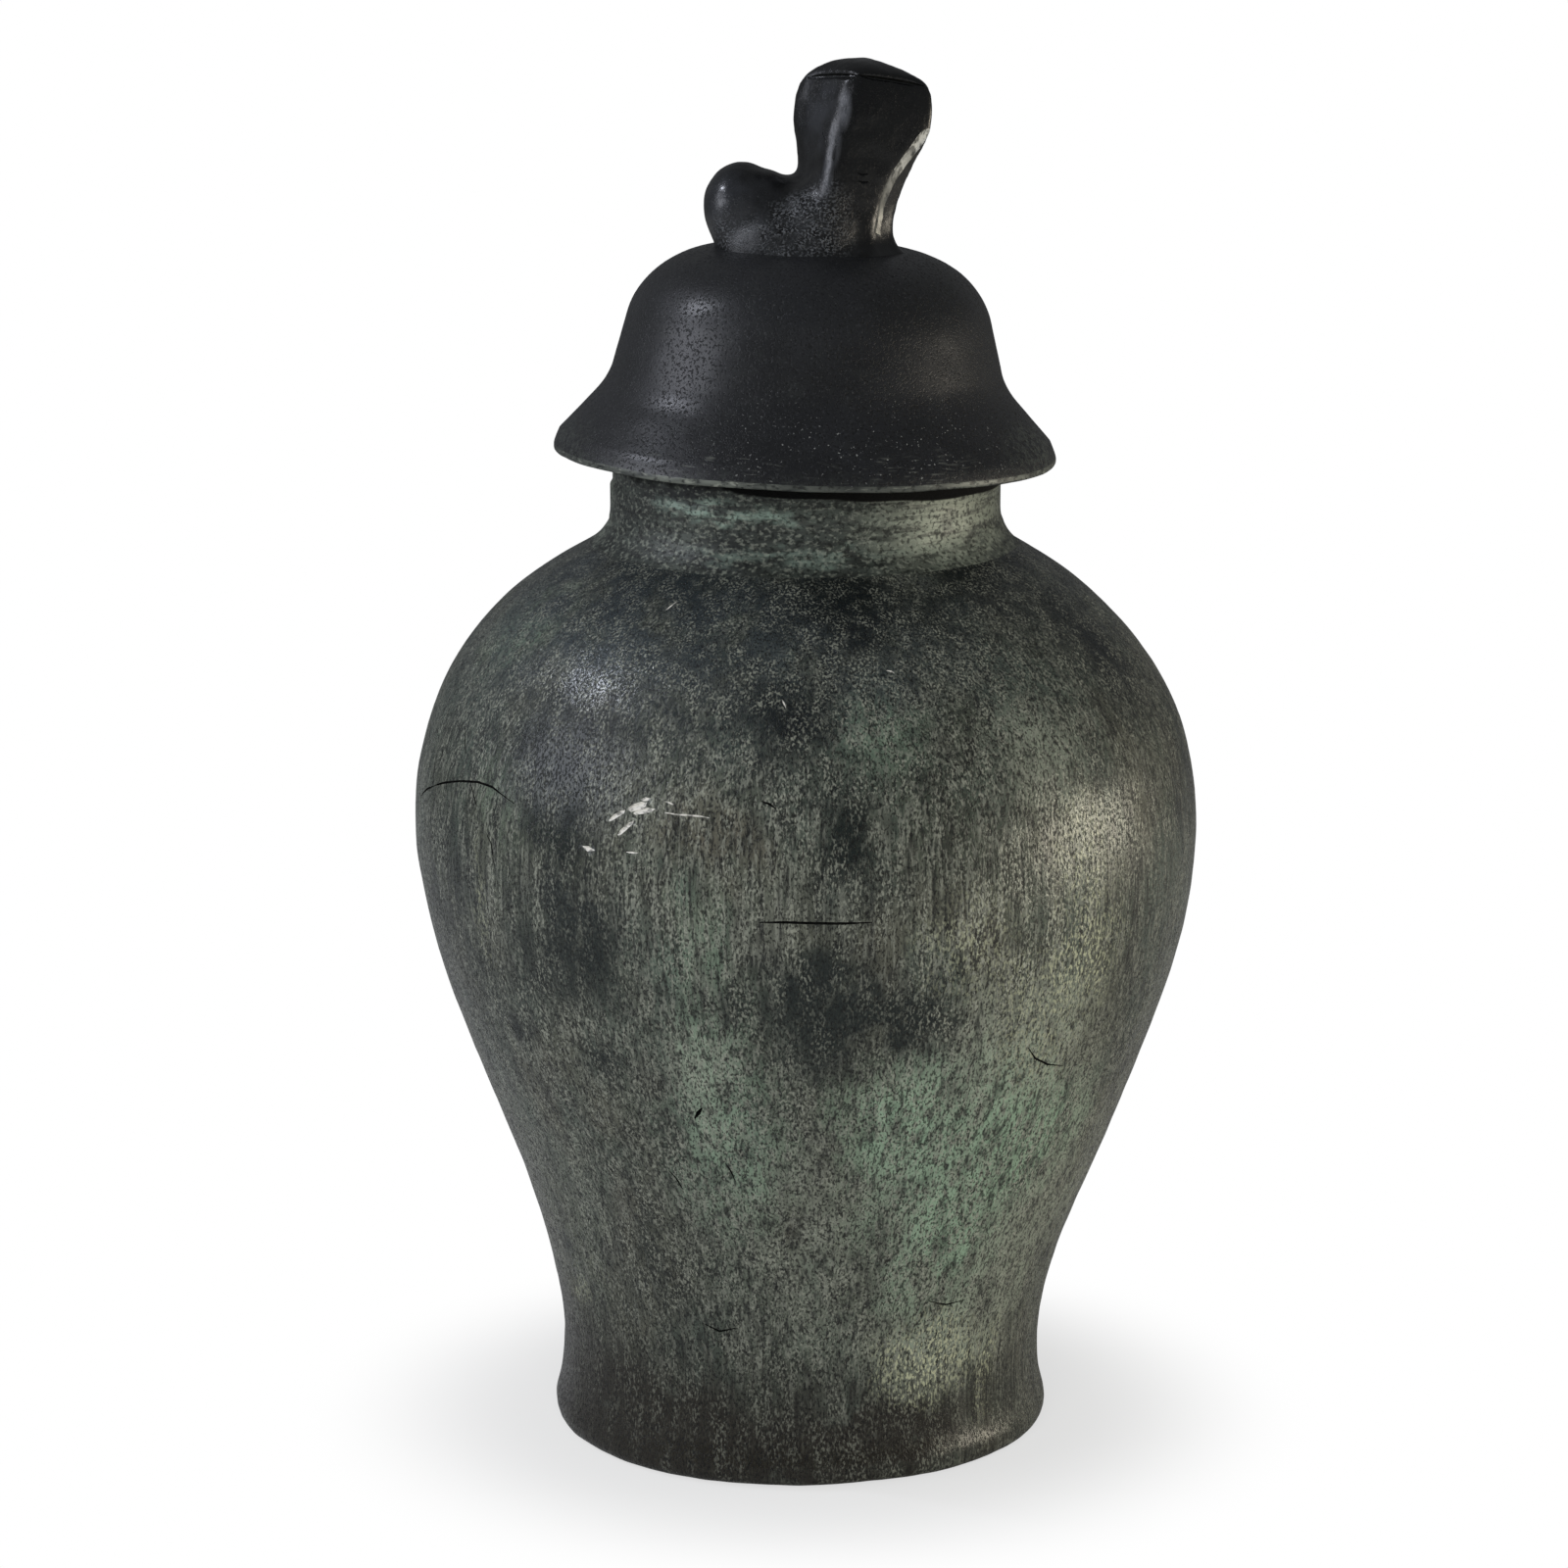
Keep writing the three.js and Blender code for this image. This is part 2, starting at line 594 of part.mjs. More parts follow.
function finial() {
  const figure = geometryOf(solid(finialColumn()).add(solid(finialHaunch())));
  const studHole = rod(STUD_RADIUS + FIT_GAP, -CUT_MARGIN, STUD_GRIP + FIT_GAP);
  const dowelHole = dowelRod(FIT_GAP, -CUT_MARGIN, DOWEL_GRIP + FIT_GAP);
  return cut(figure, [studHole, dowelHole]).translate(0, 0, finialBase);
}

// Fixings of the finial, stacked down from the crown
const washerTop = crownFloor - FIT_GAP;
const nutTop = washerTop - WASHER_THICKNESS - FIT_GAP;
const studFoot = nutTop - NUT_HEIGHT - STUD_TAIL;

function finialWasher() {
  const bore = STUD_RADIUS + FIT_GAP;
  const section = [
    at(bore, washerTop - WASHER_THICKNESS),
    at(WASHER_RADIUS, washerTop - WASHER_THICKNESS),
    at(WASHER_RADIUS, washerTop),
    at(bore, washerTop),
  ];
  return turnedRing(section, SMALL_TURNED_STEPS);
}

function finialNut() {
  const corners = NUT_ACROSS_FLATS / 2 / Math.cos(Math.PI / HEX_STEPS);
  const bore = rod(STUD_RADIUS + FIT_GAP, nutTop - NUT_HEIGHT - CUT_MARGIN, nutTop + CUT_MARGIN);
  return cut(rod(corners, nutTop - NUT_HEIGHT, nutTop, HEX_STEPS), [bore]);
}

const urn = new THREE.Group();
urn.add(piece('lower_body', lowerBody(), BRONZE));
urn.add(piece('upper_body', upperBody(), BRONZE));
urn.add(piece('neck_collar', neckCollar(), BRONZE));
urn.add(piece('base_plate', basePlate(), BARE_BRONZE));
urn.add(piece('cork_base', rod(plateRecessRadius - FIT_GAP, 0, CORK_THICKNESS, TURNED_STEPS), CORK));
around(PIN_COUNT).forEach((angle, i) => {
  const pin = radialPin(angle, PIN_RADIUS, pinInner, pinOuter);
  urn.add(piece(`belly_pin_${i + 1}`, pin, BARE_BRONZE));
});
baseScrewPlaces().forEach((place, i) => {
  const mesh = piece(`base_plate_screw_${i + 1}`, slottedScrew(baseScrewLength), BARE_BRONZE);
  mesh.position.copy(place);
  urn.add(mesh);
});

// Everything above the mouth stands square to it.
const mouth = new THREE.Group();
mouth.position.z = mouthHeight;
mouth.rotation.y = MOUTH_TILT;
mouth.add(piece('cork_seat_ring', seatRing(), CORK));

const lid = new THREE.Group();
lid.add(piece('lid_shell', lidShell(), BLACK_PATINA));
lid.add(piece('locating_ring', locatingRing(), BARE_BRONZE));
lid.add(piece('finial', finial(), BLACK_PATINA));
lid.add(piece('finial_stud', rod(STUD_RADIUS, studFoot, finialBase + STUD_GRIP), BARE_BRONZE));
lid.add(piece('finial_washer', finialWasher(), BARE_BRONZE));
lid.add(piece('finial_nut', finialNut(), BARE_BRONZE));
lid.add(piece('finial_dowel', dowelRod(0, crownFloor, finialBase + DOWEL_GRIP), BARE_BRONZE));
ringScrewPlaces().forEach((place, i) => {
  const mesh = piece(`locating_ring_screw_${i + 1}`, slottedScrew(ringScrewLength), BARE_BRONZE);
  mesh.position.copy(place);
  lid.add(mesh);
});
mouth.add(lid);

const root = new THREE.Group();
root.name = 'bronze_lidded_urn';
root.add(urn, mouth);

export default root;
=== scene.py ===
"""Bronze lidded urn, dressed for the camera.

A cast jar with a dark green and brown patina, a matt black lid, and a cast figure on the lid's
crown. Sizes are in millimetres. Heights are above the surface that the urn stands on, above the
mouth for the lid's pieces, and above the lid's crown for the figure. Angles round the jar are in
degrees from its front, which faces -Y, towards +X.
"""

import logging
import math
from dataclasses import dataclass
from enum import Enum
from typing import Any, Callable, Sequence

import bpy
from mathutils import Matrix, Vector


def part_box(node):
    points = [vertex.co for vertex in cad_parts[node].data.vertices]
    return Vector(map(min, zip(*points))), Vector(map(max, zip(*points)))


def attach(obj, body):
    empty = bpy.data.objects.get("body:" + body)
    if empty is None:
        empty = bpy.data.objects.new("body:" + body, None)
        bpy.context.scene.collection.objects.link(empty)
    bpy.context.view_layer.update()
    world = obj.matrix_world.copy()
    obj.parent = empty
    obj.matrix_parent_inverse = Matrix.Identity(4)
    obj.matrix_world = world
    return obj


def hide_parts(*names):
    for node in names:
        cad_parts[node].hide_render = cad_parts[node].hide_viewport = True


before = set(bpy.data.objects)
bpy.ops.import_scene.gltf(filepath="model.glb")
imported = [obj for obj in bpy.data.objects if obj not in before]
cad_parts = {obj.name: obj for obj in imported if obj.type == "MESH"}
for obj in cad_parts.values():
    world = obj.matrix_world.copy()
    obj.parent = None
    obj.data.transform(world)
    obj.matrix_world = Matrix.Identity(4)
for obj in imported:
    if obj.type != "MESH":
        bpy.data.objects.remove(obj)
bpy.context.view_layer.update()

log = logging.getLogger("urn")

MM = 0.001
WHITE = "#ffffff"
QUARTER_TURN = 90.0
# Points closer than this, in metres, become one
MERGE = 1e-6
# Steps of a curve that is only measured from
FINE_STEPS = 96
# Edges sharper than this, in degrees, show as edges
SHARP_ANGLE = 38.0
# How far one round of smoothing moves a point towards its neighbours
SMOOTHING = 0.5
# The wandering of a spot's edge: its patches and its span against the length given, and its octaves
WANDER_PATCH = 2.5
WANDER_SPAN = 4.0
WANDER_DETAIL = 4.0

Point = tuple[float, float]
Place = tuple[float, float, float]
Piece = bpy.types.Object
Tree = bpy.types.NodeTree
Socket = bpy.types.NodeSocket


class Rides(Enum):
    """Bodies of the frame that a piece can move with."""

    URN = "urn"
    SEAT = "seat_ring"
    LID = "lid"


class Slot(Enum):
    """Material slots of the record."""

    BODY = "body_bronze"
    LID = "lid_bronze"
    BARE = "bare_bronze"
    CORK = "cork"


class Grip(Enum):
    """How a turned section meets the axis."""

    RING = "ring"
    SOLID = "solid"


# Finishes


def linear(code: str) -> tuple[float, float, float, float]:
    """Turns an sRGB hex colour into linear RGBA.

    Args:
        code: Six hex digits with a leading hash.

    Returns:
        The colour as Blender's sockets take it.
    """
    shares = [int(code[i : i + 2], 16) / 255 for i in (1, 3, 5)]
    flat = [s / 12.92 if s <= 0.04045 else ((s + 0.055) / 1.055) ** 2.4 for s in shares]
    return (flat[0], flat[1], flat[2], 1.0)


def bare_tree(owner: bpy.types.Material | bpy.types.World) -> Tree:
    """Switches the nodes of a material or a world on, and empties them.

    Args:
        owner: The material or world.

    Returns:
        Its node tree.
    """
    owner.use_nodes = True
    owner.node_tree.nodes.clear()
    return owner.node_tree


def add_node(
    tree: Tree, kind: str, inputs: dict[Any, Any] | None = None, **settings: Any
) -> bpy.types.Node:
    """Adds a node with its settings and links.

    Args:
        tree: Node tree that gets the node.
        kind: Blender's name of the node type, after ShaderNode.
        inputs: Socket name or number, with a value or the socket that feeds it.
        **settings: The node's own properties.

    Returns:
        The new node.
    """
    node = tree.nodes.new(f"ShaderNode{kind}")
    for name, value in settings.items():
        setattr(node, name, value)
    for key, value in (inputs or {}).items():
        if isinstance(value, Socket):
            tree.links.new(value, node.inputs[key])
        else:
            node.inputs[key].default_value = value
    return node


def centred(tree: Tree, place: Socket, middle: Place, reach: Place, tilt: float = 0.0) -> Socket:
    """Measures coordinates from a point, with a given size as the unit.

    Args:
        tree: The material's nodes.
        place: Coordinates in metres.
        middle: The point.
        reach: The unit along X, Y and Z.
        tilt: Turn about Y, in degrees.

    Returns:
        The coordinates from there.
    """
    sockets = {
        "Vector": place,
        "Location": tuple(m * MM for m in middle),
        "Rotation": (0, math.radians(tilt), 0),
        "Scale": tuple(r * MM for r in reach),
    }
    return add_node(tree, "Mapping", sockets, vector_type="TEXTURE").outputs[0]


@dataclass(frozen=True)
class Grain:
    """A cloudy pattern of a real size.

    Attributes:
        size: Size of one patch across and up.
        low: Value of the pattern at which the mask begins.
        high: Value at which it is full.
        detail: Octaves of finer pattern on top.
        shift: Moves the pattern, so that two of one size differ.
    """

    size: Point
    low: float
    high: float
    detail: float = 3.0
    shift: float = 0.0

    def pattern(self, tree: Tree, place: Socket) -> Socket:
        """Makes the pattern.

        Args:
            tree: The material's nodes.
            place: Coordinates in metres.

        Returns:
            A socket from 0 to 1.
        """
        across, up = (1 / (s * MM) for s in self.size)
        scale = (across, across, up)
        sockets = {"Vector": place, "Scale": scale, "Location": (self.shift,) * 3}
        spread = add_node(tree, "Mapping", sockets).outputs[0]
        sockets = {"Vector": spread, "Scale": 1.0, "Detail": self.detail}
        cloud = add_node(tree, "TexNoise", sockets).outputs[0]
        limits = {"Value": cloud, "From Min": self.low, "From Max": self.high}
        return add_node(tree, "MapRange", limits, interpolation_type="SMOOTHSTEP").outputs[0]


@dataclass(frozen=True)
class Spot:
    """A soft area round a place on the piece.

    Attributes:
        place: Middle of the area.
        reach: Half its size along X, Y and Z.
        strength: How much it adds to a coat's cover, or takes away when negative.
        ragged: Whether its edge wanders.
    """

    place: Place
    reach: Place
    strength: float = 1.0
    ragged: bool = True


@dataclass(frozen=True)
class Coat:
    """One layer of colour in a finish.

    Attributes:
        colour: Its sRGB colour.
        grain: Pattern that breaks it up.
        cover: How much of it there is away from the spots.
        spots: Places with more or less of it.
        roughness: Roughness where it covers, or None to leave that as it is.
        relief: How far it stands above what is under it.
        within: Second pattern that it is kept to.
    """

    colour: str
    grain: Grain
    cover: float = 1.0
    spots: tuple[Spot, ...] = ()
    roughness: float | None = None
    relief: float = 0.0
    within: Grain | None = None


@dataclass(frozen=True)
class Finish:
    """A surface built up in coats on a ground colour.

    Attributes:
        name: What the material is called.
        slot: Slot of the record that it is meant for. It is not used.
        ground: sRGB colour under the coats.
        roughness: Roughness of the ground.
        metallic: Share of bare metal in what the surface reflects.
        specular: Specular level of the shader.
        wander: How far the edges of spots wander.
        lifted: Height of the point that places are measured from.
        tilt: Turn of the places about Y, in degrees.
        coats: The layers, lowest first.
    """

    name: str
    slot: Slot
    ground: str
    roughness: float
    metallic: float
    specular: float = 0.5
    wander: float = 7.0
    lifted: float = 0.0
    tilt: float = 0.0
    coats: tuple[Coat, ...] = ()

    def material(self) -> bpy.types.Material:
        """Gives the material, and builds it at its first use.

        Returns:
            The Blender material of this finish.
        """
        made = bpy.data.materials.get(self.name)
        if made is not None:
            return made
        material = bpy.data.materials.new(self.name)
        tree = bare_tree(material)
        place = add_node(tree, "TexCoord").outputs["Object"]
        if self.lifted or self.tilt:
            place = centred(tree, place, (0, 0, self.lifted), (1 / MM,) * 3, self.tilt)
        wandering = self._wander(tree, place)
        colour: Any = linear(self.ground)
        rough: Any = self.roughness
        height: Any = 0.0
        # Mix numbers its sockets by kind: 2 and 3 take numbers, 6 and 7 take colours
        for layer in self.coats:
            mask = self._mask(tree, layer, place, wandering)
            sockets = {0: mask, 6: colour, 7: linear(layer.colour)}
            colour = add_node(tree, "Mix", sockets, data_type="RGBA").outputs[2]
            if layer.roughness is not None:
                sockets = {0: mask, 2: rough, 3: layer.roughness}
                rough = add_node(tree, "Mix", sockets).outputs[0]
            if layer.relief:
                sockets = {0: mask, 1: layer.relief, 2: height}
                height = add_node(tree, "Math", sockets, operation="MULTIPLY_ADD").outputs[0]
        surface = {
            "Base Color": colour,
            "Roughness": rough,
            "Metallic": self.metallic,
            "Specular IOR Level": self.specular,
        }
        if isinstance(height, Socket):
            bump = add_node(tree, "Bump", {"Height": height, "Distance": MM})
            surface["Normal"] = bump.outputs[0]
        shader = add_node(tree, "BsdfPrincipled", surface)
        add_node(tree, "OutputMaterial", {"Surface": shader.outputs[0]})
        return material

    def _wander(self, tree: Tree, place: Socket) -> Socket:
        """Gives coordinates that wander, for ragged edges.

        Args:
            tree: The material's nodes.
            place: Object coordinates.

        Returns:
            The moved coordinates.
        """
        scale = 1 / (WANDER_PATCH * self.wander * MM)
        sockets = {"Vector": place, "Scale": scale, "Detail": WANDER_DETAIL}
        cloud = add_node(tree, "TexNoise", sockets).outputs["Color"]
        sockets = {0: cloud, 1: (0.5, 0.5, 0.5)}
        middle = add_node(tree, "VectorMath", sockets, operation="SUBTRACT").outputs[0]
        sockets = {0: middle, 1: (WANDER_SPAN * self.wander * MM,) * 3, 2: place}
        return add_node(tree, "VectorMath", sockets, operation="MULTIPLY_ADD").outputs[0]

    def _mask(self, tree: Tree, layer: Coat, place: Socket, wandering: Socket) -> Socket:
        """Makes the mask of a coat.

        Args:
            tree: The material's nodes.
            layer: The coat to mask.
            place: Object coordinates.
            wandering: The same, moved about for ragged edges.

        Returns:
            A socket from 0, bare, to 1, covered.
        """
        mask = layer.grain.pattern(tree, place)
        if layer.within is not None:
            sockets = {0: mask, 1: layer.within.pattern(tree, place)}
            mask = add_node(tree, "Math", sockets, operation="MULTIPLY").outputs[0]
        cover: Any = layer.cover
        for spot in layer.spots:
            near = centred(tree, wandering if spot.ragged else place, spot.place, spot.reach)
            ball = add_node(tree, "TexGradient", {"Vector": near}, gradient_type="SPHERICAL")
            sockets = {0: ball.outputs[1], 1: 2 * spot.strength, 2: cover}
            cover = add_node(tree, "Math", sockets, operation="MULTIPLY_ADD").outputs[0]
        sockets = {0: mask, 1: cover}
        return add_node(tree, "Math", sockets, operation="MULTIPLY", use_clamp=True).outputs[0]


def on_jar(angle: float, height: float, radius: float) -> Place:
    """Gives the place on the jar at an angle from its front, a height and a radius."""
    around = math.radians(angle)
    return (radius * math.sin(around), -radius * math.cos(around), height)


def patch(
    angle: float,
    height: float,
    radius: float,
    wide: float,
    tall: float,
    strength: float,
    ragged: bool = True,
) -> Spot:
    """Gives a spot that is as deep as it is wide, on the jar.

    Args:
        angle: Angle of its middle from the front.
        height: Height of its middle.
        radius: Radius of its middle.
        wide: Half its width.
        tall: Half its height.
        strength: How much it adds to a coat's cover, or takes away when negative.
        ragged: Whether its edge wanders.

    Returns:
        The spot.
    """
    return Spot(on_jar(angle, height, radius), (wide, wide, tall), strength, ragged)


# Meshes


def only(piece: Piece) -> None:
    """Makes a piece the only selected and the active object."""
    bpy.ops.object.select_all(action="DESELECT")
    piece.select_set(True)
    bpy.context.view_layer.objects.active = piece


def added(operator: Callable[..., Any], **settings: Any) -> Piece:
    """Adds an object with nothing else selected.

    Args:
        operator: Operator that adds it.
        **settings: What the operator is told.

    Returns:
        The new object, selected and active.
    """
    bpy.ops.object.select_all(action="DESELECT")
    operator(**settings)
    return bpy.context.object


def apply_modifier(piece: Piece, kind: str, **settings: Any) -> None:
    """Adds a modifier to a piece and applies it.

    Args:
        piece: Piece to work on.
        kind: Blender's name of the modifier type.
        **settings: The modifier's own properties.
    """
    only(piece)
    modifier = piece.modifiers.new(kind.title(), kind)
    for name, value in settings.items():
        setattr(modifier, name, value)
    bpy.ops.object.modifier_apply(modifier=modifier.name)


def melt(piece: Piece, rounds: int, group: str = "") -> None:
    """Smooths the form of a piece, or of one vertex group of it, in some rounds."""
    apply_modifier(piece, "SMOOTH", factor=SMOOTHING, iterations=rounds, vertex_group=group)


def curve(control: Sequence[Point], steps: int, depth: float = 0.0) -> list[Point]:
    """Gives points along a Bezier curve.

    Args:
        control: Its control points, as radius and height.
        steps: Number of steps along it.
        depth: How far the points are moved inwards, square to a rising curve.

    Returns:
        One point more than there are steps.
    """
    points = []
    for i in range(steps + 1):
        share = i / steps
        row = [Vector(p) for p in control]
        while len(row) > 2:
            row = [a.lerp(b, share) for a, b in zip(row, row[1:])]
        along = (row[1] - row[0]).normalized()
        place = row[0].lerp(row[1], share) + Vector((-along.y, along.x)) * depth
        points.append((place.x, place.y))
    return points


def rise(start: Point, end: Point, fullness: Point, steps: int, depth: float) -> list[Point]:
    """Gives points along a rising curve that is upright at both ends.

    Args:
        start: Its lower end.
        end: Its upper end.
        fullness: Share of its rise that the handle of each end takes.
        steps: Number of steps along it.
        depth: How far the points are moved inwards.

    Returns:
        One point more than there are steps.
    """
    high = end[1] - start[1]
    leaving = (start[0], start[1] + fullness[0] * high)
    arriving = (end[0], end[1] - fullness[1] * high)
    return curve((start, leaving, arriving, end), steps, depth)


def straight(start: Point, end: Point, step: float) -> list[Point]:
    """Gives points along a line, at most a step apart, with both ends."""
    count = max(1, math.ceil(math.dist(start, end) / step))
    return curve((start, end), count)


def radius_at(outline: Sequence[Point], height: float) -> float:
    """Gives the radius of a rising outline at a height."""
    for (r0, h0), (r1, h1) in zip(outline, outline[1:]):
        if height <= h1:
            return r0 if h1 == h0 else r0 + (r1 - r0) * max(0.0, (height - h0) / (h1 - h0))
    return outline[-1][0]


def turn(name: str, section: Sequence[Point], steps: int, grip: Grip = Grip.RING) -> Piece:
    """Turns a section round the Z axis, as on a lathe.

    Args:
        name: Name of the piece.
        section: Points of the section, as radius and height.
        steps: Number of steps round the axis.
        grip: Whether the section closes on itself or ends on the axis.

    Returns:
        The closed piece, with its faces outwards.
    """
    path = [*section, section[0]] if grip is Grip.RING else list(section)
    piece = added(bpy.ops.mesh.primitive_plane_add, size=MM)
    piece.name = piece.data.name = name
    bpy.ops.object.mode_set(mode="EDIT")
    bpy.ops.mesh.merge(type="CENTER")
    bpy.ops.transform.translate(value=(path[0][0] * MM, 0, path[0][1] * MM))
    for (r0, h0), (r1, h1) in zip(path, path[1:]):
        onward = ((r1 - r0) * MM, 0, (h1 - h0) * MM)
        bpy.ops.mesh.extrude_region_move(TRANSFORM_OT_translate={"value": onward})
    bpy.ops.mesh.select_all(action="SELECT")
    bpy.ops.mesh.spin(steps=steps, angle=2 * math.pi, center=(0, 0, 0), axis=(0, 0, 1))
    bpy.ops.mesh.select_all(action="SELECT")
    bpy.ops.mesh.remove_doubles(threshold=MERGE)
    bpy.ops.mesh.normals_make_consistent(inside=False)
    bpy.ops.object.mode_set(mode="OBJECT")
    return piece


def smooth(piece: Piece, angle: float = SHARP_ANGLE) -> None:
    """Shades a piece smooth, apart from edges sharper than an angle."""
    only(piece)
    bpy.ops.object.shade_smooth_by_angle(angle=math.radians(angle))


def move(piece: Piece, place: Place, tilt: float = 0.0) -> None:
    """Turns a piece about Y, moves it, and puts its place into its mesh.

    Args:
        piece: Piece that was made at the origin.
        place: Where its origin goes.
        tilt: Turn about Y, in degrees.
    """
    only(piece)
    piece.location = [p * MM for p in place]
    piece.rotation_euler = (0, math.radians(tilt), 0)
    bpy.ops.object.transform_apply(location=True, rotation=True, scale=True)


def copied(piece: Piece, name: str, place: Place = (0, 0, 0)) -> Piece:
    """Copies a piece with a mesh of its own, and moves the copy.

    Args:
        piece: Piece that was made at the origin.
        name: Name of the copy.
        place: Where the copy goes.

    Returns:
        The copy.
    """
    only(piece)
    bpy.ops.object.duplicate()
    twin = bpy.context.object
    twin.name = twin.data.name = name
    move(twin, place)
    return twin


def cut(piece: Piece, cutters: Sequence[Piece]) -> None:
    """Cuts pieces out of another, and removes them.

    Args:
        piece: Piece that is cut.
        cutters: Pieces to cut out, whose materials stay on the cut faces.
    """
    how = {"operation": "DIFFERENCE", "solver": "EXACT", "material_mode": "TRANSFER"}
    for cutter in cutters:
        apply_modifier(piece, "BOOLEAN", object=cutter, **how)
        bpy.data.objects.remove(cutter)


def coat(piece: Piece, finish: Finish) -> None:
    """Gives a piece a finish all over."""
    piece.data.materials.clear()
    piece.data.materials.append(finish.material())
    piece.data.polygons.foreach_set("material_index", [0] * len(piece.data.polygons))


def settle(piece: Piece, finish: Finish, rides: Rides, *nodes: str) -> None:
    """Puts a finished piece on its body, and coats it if it is still bare.

    Args:
        piece: The finished piece.
        finish: Its finish.
        rides: Body that it moves with.
        *nodes: Nodes of the frame that it stands for.
    """
    if not any(piece.data.materials):
        coat(piece, finish)
    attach(piece, rides.value)
    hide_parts(*nodes)
    log.info("%s: %d faces, stands for %s", piece.name, len(piece.data.polygons), ", ".join(nodes))


def dress(node: str, finish: Finish) -> None:
    """Gives a node of the frame a finish.

    Args:
        node: Name of the node.
        finish: Its finish.
    """
    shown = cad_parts[node]
    if not shown.material_slots:
        shown.data.materials.append(None)
    for slot in shown.material_slots:
        slot.material = finish.material()
    log.info("%s: dressed in %s", node, finish.name)


@dataclass(frozen=True)
class Waves:
    """Unevenness that the hand leaves.

    Attributes:
        size: From one swelling to the next.
        depth: The most that a point moves.
    """

    size: float
    depth: float


def work_by_hand(piece: Piece, waves: Sequence[Waves], group: str = "") -> None:
    """Makes a piece uneven, the same at the same place on every piece.

    Args:
        piece: Piece to work on.
        waves: The unevenness, coarse or fine.
        group: Vertex group that it is kept to, or nothing for the whole piece.
    """
    for wave in waves:
        texture = bpy.data.textures.new(f"{piece.name}_waves", "CLOUDS")
        texture.cloud_type = "COLOR"
        texture.noise_scale = wave.size * MM
        texture.noise_depth = 1
        apply_modifier(
            piece,
            "DISPLACE",
            texture=texture,
            texture_coords="LOCAL",
            direction="RGB_TO_XYZ",
            strength=2 * wave.depth * MM,
            mid_level=0.5,
            vertex_group=group,
        )


def skin_group(piece: Piece, outline: Sequence[Point], depth: float) -> str:
    """Marks the vertices of a turned piece that lie on its outer skin.

    Args:
        piece: The turned piece.
        outline: Its outer outline, rising.
        depth: How far inside the outline still counts.

    Returns:
        Name of the vertex group.
    """
    group = piece.vertex_groups.new(name="skin")
    outer = [
        v.index
        for v in piece.data.vertices
        if math.hypot(v.co.x, v.co.y) / MM > radius_at(outline, v.co.z / MM) - depth
    ]
    group.add(outer, 1.0, "REPLACE")
    return group.name


@dataclass(frozen=True)
class Score:
    """A cut or a hairline in a turned skin.

    Attributes:
        path: Angle and height of its points.
        width: Its greatest width.
        sharp: Share of that width left at its ends.
        raised: Share of that width by which its middle stands off the skin, for a shallow scrape.
    """

    path: tuple[Point, ...]
    width: float
    sharp: float = 0.35
    raised: float = 0.0


@dataclass(frozen=True)
class Chip(Score):
    """A shallow scrape with thin ends."""

    sharp: float = 0.2
    raised: float = 0.3


def tube(points: Sequence[Vector], width: float, sharp: float, rounds: int = 1) -> Piece:
    """Makes a closed tube with pointed ends, to cut a score with.

    Args:
        points: Points of its middle line, in metres.
        width: Its greatest width.
        sharp: Share of that width left at its ends.
        rounds: Steps that round its section.

    Returns:
        The tube as a mesh.
    """
    line = added(bpy.ops.curve.primitive_bezier_curve_add)
    line.data.splines.clear()
    spline = line.data.splines.new("POLY")
    last = len(points) - 1
    spline.points.add(last)
    for i, (knot, place) in enumerate(zip(spline.points, points)):
        knot.co = (*place, 1.0)
        knot.radius = sharp if i in (0, last) else 1.0
    line.data.bevel_depth = width * MM / 2
    line.data.bevel_resolution = rounds
    line.data.use_fill_caps = True
    bpy.ops.object.convert(target="MESH")
    return bpy.context.object


def score(piece: Piece, scores: Sequence[Score], outline: Sequence[Point], finish: Finish) -> None:
    """Cuts scores into the skin of a turned piece.

    Args:
        piece: Piece with its final skin and its finish.
        scores: What to cut.
        outline: The piece's outer outline, rising.
        finish: Finish of the cut faces.
    """
    cutters = []
    for each in scores:
        points = []
        for angle, height in each.path:
            near = Vector(on_jar(angle, height, radius_at(outline, height))) * MM
            _, place, normal, _ = piece.closest_point_on_mesh(near)
            points.append(place + normal * (each.raised * each.width * MM))
        cutters.append(tube(points, each.width, each.sharp))
        coat(cutters[-1], finish)
    cut(piece, cutters)


# The jar


